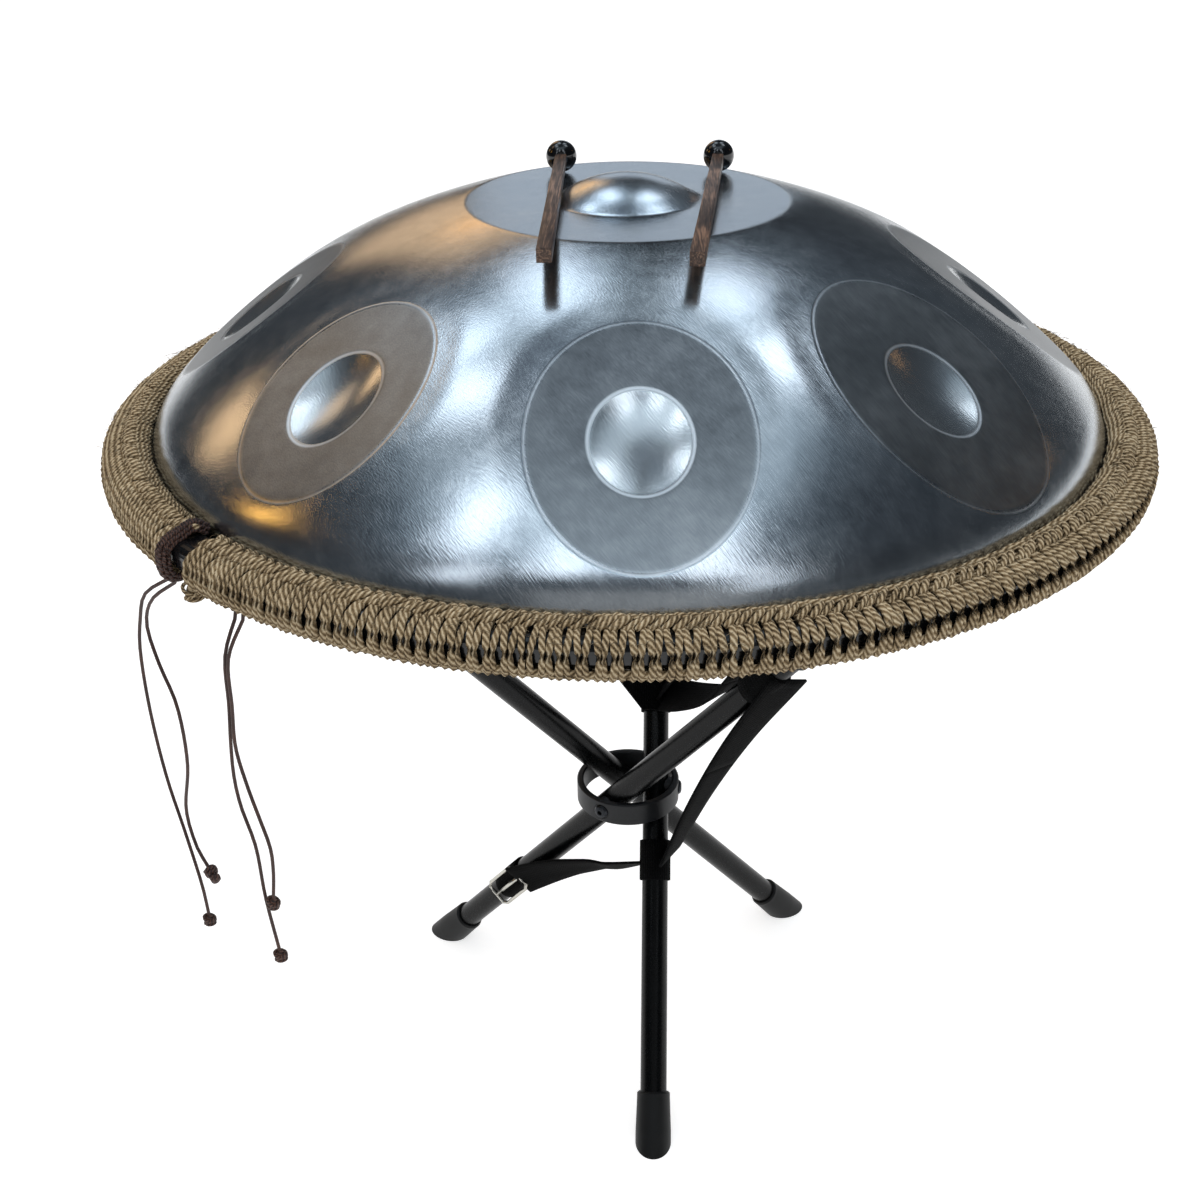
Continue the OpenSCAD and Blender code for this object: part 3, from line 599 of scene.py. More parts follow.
def sheet_points(ways):
    """Points of the sheet along directions from the dome's centre, and their finishes."""
    tilt = np.arccos(np.clip(ways[:, 2], -1, 1))
    reach = np.interp(tilt, PROFILE_TILT, PROFILE_REACH)
    field, dent, nearest = np.full((3, len(ways)), FAR)
    for k, width in enumerate(FIELD_W):
        across, along, out = field_axes(k)
        facing = ways @ out
        t = CROWN_R * (ways @ across) / np.maximum(facing, 0.3)
        m = CROWN_R * (ways @ along) / np.maximum(facing, 0.3)
        half_w, half_l = width / 2, width / 2 * FIELD_STRETCH
        share = np.where(facing > 0.5, np.hypot(t / half_w, m / half_l), FAR)
        sink = half_w ** 2 / (2 * CROWN_R)
        near = share < 1.5
        reach[near] = soft_min(reach[near], CROWN_R - sink * (1 - share[near] ** 2), 0.22)
        hole = np.hypot(t / DIMPLE_HALF[0], m / DIMPLE_HALF[1])
        near &= hole < 1.6
        fall = DIMPLE_DEPTH * (1 - hole[near] ** 2)
        reach[near] += soft_min(-fall, 0 * fall, 0.5)
        nearest = np.minimum(nearest, share)
        from_field = np.minimum(field, edge_distance(t, m, half_w, half_l))
        from_dent = np.minimum(dent, edge_distance(t, m, *DIMPLE_HALF))
        field = np.where(share < 1.6, from_field, field)
        dent = np.where((share < 1.6) & (hole < 2), from_dent, dent)
    # between two fields the sheet stays a little proud, in a soft ridge down the slope
    turn = np.arctan2(ways[:, 0], -ways[:, 1]) - FIELD_TURN
    ridge = (0.5 - 0.5 * np.cos(8 * turn)) * np.sin(
        np.pi * np.clip((tilt - RIDGE_FROM) / (RIDGE_TO - RIDGE_FROM), 0, 1)) ** 2
    clear = np.clip((nearest - 1.02) / 0.3, 0, 1)
    reach += RIDGE * ridge * clear * clear * (3 - 2 * clear)
    points = ways * reach[:, None] + [0, 0, CROWN_Z0]
    r = np.hypot(points[:, 0], points[:, 1])
    plate = soft_min(points[:, 2], np.full(len(r), PLATE_Z), 0.35)
    points[:, 2] = np.where(r < PLATE_R + 8, plate, points[:, 2])
    ball = (PLATE_Z + DING_RISE - DING_SPHERE
            + np.sqrt(np.maximum(DING_SPHERE ** 2 - r ** 2, 0)))
    raised = -soft_min(-points[:, 2], -ball, 1.6)
    points[:, 2] = np.where(r < DING_R + 6, raised, points[:, 2])
    return points, field, dent


# %% Points over the sheet
def ring_ways(tilt, count, shift=0.0):
    """Directions of an even ring round the dome."""
    turn = np.linspace(0, 2 * np.pi, count, endpoint=False) + shift
    return np.stack([np.sin(tilt) * np.sin(turn), -np.sin(tilt) * np.cos(turn),
                     np.full(count, np.cos(tilt))], axis=1)


def field_ways(k, half_w, half_l, share, count):
    """Directions of a ring along an ellipse of tone field k."""
    across, along, out = field_axes(k)
    turn = np.linspace(0, 2 * np.pi, count, endpoint=False)
    return unit(CROWN_R * out + share * (half_w * np.cos(turn)[:, None] * across
                                         + half_l * np.sin(turn)[:, None] * along))


# in mm: room between even points, along a field's or dimple's rings and along round
# rings, and the least room from an even point to a ring
SPACING, EDGE_STEP, ROUND_STEP, LEAST = 3.4, 2.6, 2.4, 1.9
RIM_COUNT = 480
close_rings = []
for k, width in enumerate(FIELD_W):
    for half_w, half_l, gaps in ((width / 2, width / 2 * FIELD_STRETCH, (-3.4, -1.5, 0, 1.5)),
                                 (*DIMPLE_HALF, (-2.6, -1.2, 0, 1.2, 2.6))):
        # an oval of this shape is about 1.13 times as long round as a circle of its width
        count = int(2 * math.pi * half_w * 1.13 / EDGE_STEP)
        for gap in gaps:
            close_rings.append(field_ways(k, half_w, half_l, 1 + gap / half_w, count))
for r, gaps in ((PLATE_R, (-2.5, -1, 0, 1, 2.5)), (DING_R, (-3.6, -2.0, -0.8, 0.8, 2.2, 4))):
    for gap in gaps:
        close_rings.append(ring_ways(math.asin((r + gap) / CROWN_R),
                                     int(2 * math.pi * r / ROUND_STEP)))
close_rings = np.vstack(close_rings)
edge_tilt = PROFILE_TILT[DOME_STEPS - 1]
close_rings = close_rings[np.arccos(close_rings[:, 2]) < edge_tilt + 0.02]

even = [np.array([[0, 0, 1.0]])]
for row in range(1, int(edge_tilt * CROWN_R / SPACING)):
    tilt = row * SPACING / CROWN_R
    even.append(ring_ways(tilt, max(6, int(2 * math.pi * CROWN_R * math.sin(tilt) / SPACING)),
                          0.5 * row))
even = np.vstack(even)
# an even point that lies too near a close ring is left out
taken = KDTree(len(close_rings))
for i, way in enumerate(close_rings):
    taken.insert(way, i)
taken.balance()
even = even[[taken.find(way)[2] * CROWN_R > LEAST for way in even]]
rim = np.vstack([ring_ways(t, RIM_COUNT) for t in
                 np.concatenate([np.linspace(edge_tilt, PROFILE_TILT[-2], 7),
                                 [PROFILE_TILT[-1]]])])
ways = np.vstack([even, close_rings, rim])
print("sheet points:", len(ways))

# %% Triangles and wall
tilt = np.arccos(np.clip(ways[:, 2], -1, 1))
flat = unit(ways[:, :2]) * tilt[:, None]
corners, _, triangles, sources, _, _ = delaunay_2d_cdt([Vector(p) for p in flat], [], [],
                                                       0, 1e-7)
points, field, dent = sheet_points(ways[[sources[i][0] for i in range(len(corners))]])
points[:, 2] += RIM_Z + BOND / 2
mesh = bpy.data.meshes.new("steel_top")
mesh.from_pydata((points * MM).tolist(), [], [tuple(f) for f in triangles])
for label, values in (("field_edge", field), ("dimple_edge", dent)):
    layer = mesh.attributes.new(label, "FLOAT", "POINT")
    layer.data.foreach_set("value", values.astype(np.float32))
steel_top = bpy.data.objects.new("steel_top", mesh)
bpy.context.scene.collection.objects.link(steel_top)
face_outward(steel_top)
wall = steel_top.modifiers.new("wall", "SOLIDIFY")
wall.thickness, wall.offset = WALL * MM, -1
bpy.ops.object.modifier_apply(modifier="wall")
bpy.ops.object.shade_smooth_by_angle(angle=math.radians(35))
print("top shell:", len(steel_top.data.polygons), "triangles")


# %% [markdown]
# ## Brushed stainless steel
# The shell is bare stainless steel, rubbed by hand with an abrasive pad. That leaves fine
# scratches, so it mirrors the room softly: bright where it faces a lamp or a window, dark
# where it faces the walls. Rubbing is not even, so roughness and brightness drift in
# patches. The tone fields are rubbed duller and their dimples brighter. Every shoulder and
# dimple edge has a thin near-white line painted into the colour, a painted highlight
# where the crease would catch the light, with a shallow groove under it.

# %% Steel materials
def brushed_steel(name, fields=True):
    """Bare stainless steel, hand-rubbed: soft reflections and fine slanting scratches."""
    made, tree, shader = start_material(name, Metallic=1.0, Roughness=0.33)
    place = add(tree, "ShaderNodeTexCoord").outputs["Object"]
    # scratches 8 mm long and 0.6 mm wide, all slanting one way
    lie = add(tree, "ShaderNodeMapping", {0: place, "Rotation": (0.0, 0.594, -0.725),
                                          "Scale": (0.008, 0.0006, 0.0006)},
              vector_type="TEXTURE")
    scratch = add(tree, "ShaderNodeTexNoise", {0: lie, "Scale": 1.0, "Detail": 2.0})
    cloud = add(tree, "ShaderNodeTexNoise", {0: place, "Scale": 16.0, "Detail": 5.0})
    mottle = add(tree, "ShaderNodeTexNoise", {0: place, "Scale": 120.0, "Detail": 4.0})
    tone = 0.0
    for part, share in ((cloud, 0.5), (mottle, 0.25), (scratch, 0.25)):
        tone = add(tree, "ShaderNodeMath", {0: part, 1: share, 2: tone},
                   operation="MULTIPLY_ADD")
    colour = add(tree, "ShaderNodeValToRGB", {0: tone},
                 stops=((0.3, "#a3a9ae"), (0.5, "#bfc5ca"), (0.7, "#dadee1")))
    rough = add(tree, "ShaderNodeMapRange", {0: tone, 1: 0.3, 2: 0.7, 3: 0.13, 4: 0.27})
    relief = add(tree, "ShaderNodeMath", {0: cloud, 1: 0.8, 2: scratch},
                 operation="MULTIPLY_ADD")
    # zones: where each lies, its colour and how much rougher it is
    zones = []
    if fields:
        edge = add(tree, "ShaderNodeAttribute", attribute_name="field_edge").outputs["Fac"]
        dent = add(tree, "ShaderNodeAttribute", attribute_name="dimple_edge").outputs["Fac"]
        field = add(tree, "ShaderNodeMapRange", {0: edge, 1: 1.5, 2: -2.5})
        dull = add(tree, "ShaderNodeValToRGB", {0: tone},
                   stops=((0.3, "#7b7f82"), (0.5, "#95999c"), (0.7, "#b2b5b7")))
        dimple = add(tree, "ShaderNodeMapRange", {0: dent, 1: 1.0, 2: -1.5})
        zones += [(field, dull, 0.13), (dimple, srgb("#c9cdcf"), -0.11)]
        # painted highlight: a thin near-white line in the colour along each edge, stronger round
        # the dimples, over a shallow groove in the bump
        for distance, width, shine in ((edge, 0.8, 0.35), (dent, 1.2, 0.8)):
            away = add(tree, "ShaderNodeMath", {0: distance}, operation="ABSOLUTE")
            line = add(tree, "ShaderNodeMapRange", {0: away, 1: width, 2: 0.2, 3: 0.0,
                                                    4: shine})
            groove = add(tree, "ShaderNodeMapRange", {0: away, 1: 1.3, 2: 0.0, 3: 0.0,
                                                      4: 1.0}, interpolation_type="SMOOTHSTEP")
            relief = add(tree, "ShaderNodeMath", {0: groove, 1: -1.5, 2: relief},
                         operation="MULTIPLY_ADD")
            zones.append((line, srgb("#f2f6f9"), 0.2))
        flat = add(tree, "ShaderNodeVectorMath", {0: place, 1: (1, 1, 0)},
                   operation="MULTIPLY")
        radius = add(tree, "ShaderNodeVectorMath", {0: flat}, operation="LENGTH")
        plate = add(tree, "ShaderNodeMapRange", {0: radius.outputs["Value"],
                                                 1: (PLATE_R + 1) * MM,
                                                 2: (PLATE_R - 1) * MM})
        smooth = add(tree, "ShaderNodeValToRGB", {0: tone},
                     stops=((0.34, "#adb7c0"), (0.5, "#c2cbd3"), (0.66, "#dde3e8")))
        zones.append((plate, smooth, 0.02))
    for zone, tint, rougher in zones:
        colour = add(tree, "ShaderNodeMix", {0: zone, 6: colour, 7: tint},
                     data_type="RGBA").outputs[2]
        rough = add(tree, "ShaderNodeMath", {0: zone, 1: rougher, 2: rough},
                    operation="MULTIPLY_ADD")
    finish_surface(tree, shader, colour, relief, 0.5, 0.11, rough)
    return made


dress(steel_top, brushed_steel("rubbed_stainless_steel"), "shell", "pan", "top_shell")


# %% [markdown]
# ## The finishes of the solids
# Most of the stand keeps its solids and only needs its finish: black tubes with a satin
# coat, a cast hub, moulded rubber caps, oxide-black screws. One recipe serves them: a
# dark base, a fine grain in the roughness and a very shallow bump at the grain's size.

# %% Plain black finishes
def grained(name, low, high, roughness, grain_mm, depth_mm, spread=0.08, metallic=0.0,
            coat=0.0, shine=0.5):
    """A moulded, coated or cast surface with a fine grain of a real size."""
    made, tree, shader = start_material(name, Roughness=roughness, Metallic=metallic)
    shader.inputs["Coat Weight"].default_value = coat
    shader.inputs["Specular IOR Level"].default_value = shine
    place = add(tree, "ShaderNodeTexCoord").outputs["Object"]
    grain = add(tree, "ShaderNodeTexNoise", {0: place, "Scale": 1000.0 / grain_mm / 2,
                                             "Detail": 3.0})
    drift = add(tree, "ShaderNodeTexNoise", {0: place, "Scale": 35.0, "Detail": 3.0})
    tone = 0.0
    for part in (grain, drift):
        tone = add(tree, "ShaderNodeMath", {0: part, 1: 0.5, 2: tone},
                   operation="MULTIPLY_ADD")
    colour = add(tree, "ShaderNodeValToRGB", {0: tone}, stops=((0.3, low), (0.7, high)))
    rough = add(tree, "ShaderNodeMapRange", {0: tone, 1: 0.3, 2: 0.7,
                                             3: roughness - spread, 4: roughness + spread})
    finish_surface(tree, shader, colour, grain, 0.6, depth_mm, rough)
    return made


# satin black coat of the stand's tubes: faint long highlights
tube_coat = grained("satin_black_coat", "#010202", "#050607", 0.28, 0.5, 0.01, shine=0.2)
# cast and painted hub: a little greyer and rougher than the tubes
hub_paint = grained("charcoal_cast_paint", "#0c0d0f", "#1a1c1f", 0.42, 0.6, 0.03, shine=0.3)
# moulded rubber of feet and tips: nearly matt
cap_rubber = grained("moulded_cap_rubber", "#090a0a", "#151617", 0.5, 0.4, 0.03, shine=0.3)
# extruded rubber channel under the rope: glossy from its mould
channel_rubber = grained("glossy_channel_rubber", "#060708", "#0d0f12", 0.16, 1.2, 0.02, 0.05)
# black oxide on the pivot screws
oxide = grained("black_oxide_steel", "#1a1b1d", "#303338", 0.3, 0.3, 0.005, metallic=0.8)
brass = grained("turned_brass_plug", "#8f7440", "#c2a468", 0.35, 0.3, 0.01, metallic=1.0)
nylon = grained("black_nylon", "#15161a", "#26282c", 0.42, 0.4, 0.01)
epoxy = grained("cured_epoxy", "#3b3c3e", "#55575a", 0.5, 0.8, 0.02)
bowl_steel = brushed_steel("rubbed_steel_underside", fields=False)
finishes = {"bottom_shell": bowl_steel, "rim_bond": epoxy, "rim_trim": channel_rubber,
            "hub": hub_paint}
for i in (1, 2, 3):
    finishes |= {f"leg_tube_{i}": tube_coat, f"leg_foot_{i}": cap_rubber,
                 f"leg_tip_{i}": cap_rubber, f"pivot_screw_{i}": oxide,
                 f"pivot_plug_{i}": brass, f"pivot_washer_{i}": nylon}
for name, finish in finishes.items():
    for solid in bpy.data.objects:
        if solid.name == name or solid.name.startswith(name + "."):
            paint(solid, finish)
print("solids with a finish of their own:", len(finishes))


# %% [markdown]
# ## The rope cover
# A black rubber channel closes the joint of the two shells, and jute twine is hitched
# over it all round. Under a plaited edge each hitch shows two strands that start side by
# side and spread, so that black rubber shows between them, then run together with their
# neighbours and turn under the rim. One hitch is a pair of short tubes, laid once more for
# each place round the rim with small random differences, as a hand would leave them.

# %% Hitches
# in mm: room for one hitch, a strand's width, and the radius at which the room is taken
HITCH, STRAND, HITCH_R = 7.5, 3.3, 280.0
END_GAP = 2.0
start_angle = GAP_TURN + gap_half + END_GAP / ROPE_OUT
cover = 2 * math.pi - 2 * gap_half - END_GAP / ROPE_OUT
hitches = int(round(cover * HITCH_R / HITCH))
# radius and height of a strand's middle as it goes over the rubber; how far the two strands
# of a hitch spread there to each side, and how deep the first one sinks under the second
SECTION = np.array([(260.9, 3.6), (263.2, 7.2), (268.0, 8.2), (273.5, 8.0), (279.3, 5.6),
                    (281.8, 0.9), (281.8, -4.6), (279.0, -9.2), (272.0, -9.9),
                    (264.5, -9.0)])
SPREAD = np.array([1.9, 1.6, 1.4, 1.35, 2.1, 2.75, 2.5, 1.9, 1.9, 1.9])
UNDER = np.array([0, 0, 0, 0, 0.6, 1.0, 0.9, 0.3, 0, 0])
parts = []
for i in range(hitches):
    middle = start_angle + (i + 0.5) / hitches * cover
    wobble = rng.normal(0, 1, 8)
    for hand in (-1, 1):
        lean = hand * SPREAD * (1 + 0.12 * wobble[1]) + 0.35 * wobble[0]
        lean += np.linspace(-0.5, 0.5, len(SPREAD)) * wobble[3 + hand]
        path = round_rim(middle + lean / SECTION[:, 0], SECTION[:, 0] - UNDER * (hand < 0),
                         SECTION[:, 1] + 0.15 * wobble[5])
        parts.append(tube_parts(smooth_path(path, 12), STRAND * (1 + 0.05 * wobble[6])))
hitch_rope = piece_from("rope_hitches", parts)
dress(hitch_rope, jute, "rope", "pan", "rope_wrap")
print("hitches:", hitches, "faces:", len(hitch_rope.data.polygons))

# %% Bottom strands
# radius, height, how much the height waves, and width of three strands round the rim
angles = start_angle + np.linspace(0.004, cover - 0.004, 620)
parts = [tube_parts(round_rim(angles, r, z + wave * np.sin(angles * 70)), width)
         for r, z, wave, width in ((279.9, -6.6, 0.3, 3.0), (276.5, -9.6, 0, 3.4),
                                   (271.0, -10.0, 0, 3.2))]
bottom_rope = piece_from("rope_bottom_strands", parts)
dress(bottom_rope, jute, "rope", "pan")

# %% Plaited edge
# two rows of slanting strands that meet in a V, as in a chain of loops
PLAIT_R, PLAIT_STRAND, FIBRES = 265.0, 3.0, 1500
parts = []
links = int(hitches * 1.4)
for i in range(links):
    middle = start_angle + (i + 0.5) / links * cover
    wobble = rng.normal(0, 1, 8)
    for hand, r, z in ((-1, (257.5, 258.9, 261.6, 265.2), (5.4, 7.7, 10.1, 10.9)),
                       (1, (270.8, 269.6, 267.0, 263.6), (8.9, 10.3, 11.2, 10.5))):
        along = np.array([-4.4, -1.9, 1.1, 4.0]) + 0.45 * wobble[0] + hand * 0.9
        path = smooth_path(round_rim(middle + along / PLAIT_R, np.array(r) + 0.3 * wobble[1],
                                     np.array(z) + 0.3 * wobble[2 + hand]), 7)
        parts.append(tube_parts(path, PLAIT_STRAND * (1 + 0.08 * wobble[4]), taper=0.75))
# loose fibres of the twine, thin enough to show only as fuzz
for i in range(FIBRES):
    turn, r = start_angle + rng.uniform(0, cover), rng.uniform(258, 282)
    z = np.interp(r, (258, 262, 270, 276, 282), (8.5, 11.5, 12.2, 9.6, 5.0))
    way = rng.normal(0, 1, 2)
    along = np.linspace(0, 1, 4) * rng.uniform(2.5, 5.0)
    path = round_rim(turn + along * way[0] / PLAIT_R, r + along * 0.5 * way[1],
                     z + np.array([-0.6, 0.25, 0.6, 0.3]))
    parts.append(tube_parts(path, 0.26, 3))
chain = piece_from("rope_plaited_edge", parts)
dress(chain, jute, "rope", "pan", "rope_chain")
print("plait links:", links, "faces:", len(chain.data.polygons))

# %% [markdown]
# ## Whipping and knot
# Where the cover ends, turns of the dark waxed cord bind the rope's end, and the twine's
# other end is a knot under the rim. The whipping is four rows of two strands that wind
# round each other, and those nearest the gap sink, so that its edge there is rounded.

# %% Whipping and knot
# radius and height of the rows' middle round the rope
SLEEVE = [(257.4, 8.6), (262.4, 12.4), (267.0, 13.3), (272.8, 11.4), (279.0, 9.2),
          (283.5, 4.6), (284.2, -1.0), (283.4, -7.6), (279.4, -12.2), (271.5, -12.7),
          (264.0, -10.8)]
ROPE_MIDDLE_R, ROW_STEPS, ROW_TWISTS = 271.0, 46, 9
line = smooth_path([(r, 0, z) for r, z in SLEEVE], ROW_STEPS)
wind = np.linspace(0, 2 * math.pi * ROW_TWISTS, ROW_STEPS)
inward = unit(np.array([ROPE_MIDDLE_R, 0, 0]) - line)
parts = []
# each row's place along the rim and how far it sinks towards the rope's middle, in mm
for along, sunk in ((2.4, 3.4), (1.6, 1.6), (0.1, 0.2), (-1.8, 0.0)):
    for hand in (0, math.pi):
        where = GAP_TURN - gap_half + (along + 0.6 * np.cos(wind + hand + along)) / ROPE_OUT
        row = line + inward * (sunk + 0.5 * np.sin(wind + hand + along))[:, None]
        parts.append(tube_parts(round_rim(where, row[:, 0], row[:, 2]), 1.7))
whipping = piece_from("whipping_turns", parts)
dress(whipping, waxed, "waxed_cord", "pan", "rope_whipping")
knot_at = round_rim(GAP_TURN + gap_half - math.radians(0.9), ROPE_OUT - 9, ROPE_BOTTOM - 3.6)
stopper = piece_from("stopper_knot", knot_parts(knot_at, (0.1, 0.1, -1), 10.5))
dress(stopper, jute, "rope", "pan", "rope_knot")
print("whipping faces:", len(whipping.data.polygons))


# %% [markdown]
# ## Webbing
# The stand's strap is one length of black woven webbing. It wraps round two legs, passes
# through a wire slider and keeps the legs from spreading. It is drawn as bands with a
# rounded edge along the same routes as the solids. Each free run crosses two pivots, so
# it is made in two halves, which meet at one row of the run.

# %% Webbing material
def webbing_material():
    """Woven polypropylene tape: ribs along it, fine picks across, and a dull sheen."""
    made, tree, shader = start_material("woven_black_webbing", Roughness=0.85)
    shader.inputs["Sheen Weight"].default_value = 0.01
    shader.inputs["Specular IOR Level"].default_value = 0.08
    uv = add(tree, "ShaderNodeSeparateXYZ", {0: add(tree, "ShaderNodeUVMap", uv_map="along")})
    # the weft's picks are 1.4 mm apart along the tape, and the ribs 2.1 mm apart across it
    rib = add(tree, "ShaderNodeMath", {0: uv.outputs["Y"], 1: 2 * math.pi / 0.0021},
              operation="MULTIPLY")
    rib = add(tree, "ShaderNodeMath", {0: rib}, operation="SINE")
    weft = add(tree, "ShaderNodeMath", {0: uv.outputs["X"], 1: 2 * math.pi / 0.0014},
               operation="MULTIPLY")
    weft = add(tree, "ShaderNodeMath", {0: rib, 1: 0.9, 2: weft}, operation="MULTIPLY_ADD")
    weft = add(tree, "ShaderNodeMath", {0: weft}, operation="SINE")
    relief = add(tree, "ShaderNodeMath", {0: rib, 1: 0.4, 2: weft}, operation="MULTIPLY_ADD")
    # the colour follows the relief, a touch darker where the weave is low: painted shade in its
    # grooves
    tone = add(tree, "ShaderNodeMapRange", {0: relief, 1: -1.2, 2: 1.2})
    colour = add(tree, "ShaderNodeValToRGB", {0: tone},
                 stops=((0.1, "#010101"), (0.9, "#050607")))
    finish_surface(tree, shader, colour, relief, 0.7, 0.2)
    return made


webbing = webbing_material()
STRAP_W, STRAP_T = 25.0, 1.6


# %% Bent tape
def band_parts(path, widths, closed=False):
    """The tape along path, with rounded edges; widths point across it. In mm."""
    path = np.asarray(path, float)
    ahead = headings(path, closed)
    across = square_to(ahead, np.asarray(widths, float))
    out = np.cross(ahead, across)
    w, t = STRAP_W / 2, STRAP_T / 2
    half = [(-w + 0.3 * t, t), (-w * 0.5, t), (0, t), (w * 0.5, t), (w - 0.3 * t, t), (w, 0)]
    outline = half + [(-a, -b) for a, b in half]
    rings = np.stack([path + a * across + b * out for a, b in outline], axis=1)
    return skin(rings, path, [a * MM for a, b in outline + outline[:1]], closed)


# %% Legs and bands round them
# a leg's length from hub to end and its rise in degrees, the pivots' circle and the tube
LEG_HALF, LEG_RISE, PIVOT_R, TUBE_R = 214.0, 49.75, 17.5, 8.0
HUB_Z = LEG_HALF * math.sin(math.radians(LEG_RISE))


def leg_frame(i):
    """Origin at leg i's pivot, and its x, y and z directions: z runs to the tip."""
    turn, fold = math.radians((i - 1) * 120), math.radians(90 - LEG_RISE)
    x = np.array([math.cos(turn), math.sin(turn), 0])
    y0 = np.array([-math.sin(turn), math.cos(turn), 0])
    z = math.cos(fold) * np.array([0, 0, 1.0]) + math.sin(fold) * y0
    y = math.cos(fold) * y0 - math.sin(fold) * np.array([0, 0, 1.0])
    return PIVOT_R * x + [0, 0, HUB_Z], x, y, z


def on_leg(i, points):
    """Points given in leg i's own directions, in the stand's."""
    origin, x, y, z = leg_frame(i)
    p = np.asarray(points, float)
    return origin + p[..., 0:1] * x + p[..., 1:2] * y + p[..., 2:3] * z


# each band's leg and its place along it
LOOPS = {"low": (3, -119), "front": (1, -46), "high": (3, 155), "back": (1, 60)}
for name, (leg, z) in LOOPS.items():
    turn = np.linspace(0, 2 * np.pi, 48, endpoint=False)
    r = TUBE_R + STRAP_T / 2 + 0.03
    ring = on_leg(leg, np.stack([r * np.cos(turn), r * np.sin(turn), 0 * turn + z], 1))
    loop = piece_from("webbing_loop_" + name,
                      [band_parts(ring, np.tile(leg_frame(leg)[3], (48, 1)), closed=True)])
    dress(loop, webbing, "webbing", f"leg_{leg}", "strap_loop_" + name)
print("bands of tape:", len(LOOPS), "on a circle", round(2 * r, 2), "mm across")

# %% Free runs
# for each run: its points in mm, which way its width points there, the legs at its two
# ends, and the row of 33 where its halves meet
RUN_ROWS = 33
RUNS = {
    "low": ([(-73.3, 9.8, 80.2), (-64.6, 4.6, 87.7), (-52.6, -2.4, 97.4), (-40.3, -9.2, 106),
             (-29.1, -13.6, 111), (-19.4, -16.2, 113.9), (-9.2, -18.8, 115.2),
             (13.1, -24.5, 123.2)],
            [(-.43, -.12, .89), (-.43, -.12, .89), (-.45, -.2, .87), (-.47, -.28, .84),
             (-.49, -.45, .75), (-.49, -.55, .68), (-.49, -.63, .6), (-.48, -.74, .48)], 3, 1, 28),
    "diagonal": ([(26.5, -32, 133), (45, -43, 186), (66, -56, 236), (91, -73, 286)],
                 [(.5, .8, .1), (.75, .6, -.15), (.8, .5, -.2), (.8, .4, -.2)], 1, 3, 16),
    "upper": ([(70.3, -54.3, 280.6), (56, -28, 250), (38, 3, 228), (22.5, 34, 211.5)],
              [(.9, .43, -.06), (.72, .63, .31), (.56, .68, .48), (.43, .69, .58)], 3, 1, 3),
    "return": ([(76.7, -58.2, 289.4), (57, -27, 275), (39, 5, 251), (22.5, 36.8, 216.5)],
               [(.9, .43, -.06), (.72, .63, .31), (.56, .68, .48), (.43, .69, .58)], 3, 1, 3),
}
for name, (route, widths, first, second, split) in RUNS.items():
    path, lean = smooth_path(route, RUN_ROWS), smooth_path(widths, RUN_ROWS)
    for half, leg, rows in (("a", first, slice(0, split + 1)),
                            ("b", second, slice(split, RUN_ROWS))):
        run = piece_from(f"webbing_run_{name}_{half}", [band_parts(path[rows], lean[rows])])
        paint(run, webbing)
        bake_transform(run)
        if half == "a":
            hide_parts("strap_run_" + name)
    length = np.linalg.norm(np.diff(path, axis=0), axis=1).sum()
    print("run", name, "is", round(float(length), 1), "mm long")

# %% Tail and slider
TAIL = [(4, -12.5), (4, 12.5), (-20, 12.5), (-23.9, 6.3), (-9, -12.5)]
TAIL_Y = (-9.95, -11.5)
back_z = LOOPS["back"][1]
bottom, top = (on_leg(1, [(x, y, back_z + z) for x, z in TAIL]) for y in TAIL_Y)
count = len(TAIL)
faces = [tuple(range(count)), tuple(reversed(range(count, 2 * count)))]
faces += [(k, k + count, (k + 1) % count + count, (k + 1) % count) for k in range(count)]
uvs = [TAIL[v % count] for face in faces for v in face]
tail = piece_from("webbing_tail", [(np.vstack([bottom, top]), faces,
                                    [(x * MM, z * MM) for x, z in uvs])], smooth=False)
edge = tail.modifiers.new("soft_edge", "BEVEL")
edge.width, edge.segments = 0.4 * MM, 2
bpy.ops.object.modifier_apply(modifier="soft_edge")
bpy.ops.object.shade_smooth_by_angle(angle=math.radians(50))
dress(tail, webbing, "webbing", "leg_1", "strap_tail")
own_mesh(tail)

# the slider: a wire loop with rounded corners and a middle bar, on the low band's outside
WIRE_D, WIRE_X, WIRE_Y, WIRE_Z = 2.4, 10.9, 9.0, 14.75
middle = np.array([0, 0, LOOPS["low"][1]])
corners = [np.array([WIRE_X, y, z]) for y, z in ((-WIRE_Y, WIRE_Z), (WIRE_Y, WIRE_Z),
                                                 (WIRE_Y, -WIRE_Z), (-WIRE_Y, -WIRE_Z))]
wire = [p + (q - p) * share for p, q in zip(corners, corners[1:] + corners[:1])
        for share in (0.12, 0.3, 0.5, 0.7, 0.88)]
bar = [(WIRE_X, 0, z) for z in (-WIRE_Z, 0, WIRE_Z)]
slider = piece_from("wire_slider", [
    tube_parts(on_leg(3, np.array(wire) + middle), WIRE_D, 10, closed=True),
    tube_parts(on_leg(3, np.array(bar) + middle), WIRE_D, 10)])
nickel = grained("nickel_plated_wire", "#a9a79f", "#d2d0c8", 0.22, 0.5, 0.01, metallic=1.0)
dress(slider, nickel, "buckle", "leg_3", "strap_buckle")
print("slider, mm:", 2 * WIRE_Y, "by", 2 * WIRE_Z)


# %% [markdown]
# ## Mallets
# Two light mallets rest on the crown. A handle is a square rod of dark wood that thins a
# little towards its glossy rubber ball. Each is made from a cube: scaled, thinned at one
# end and bevelled, so that its long edges catch the light.

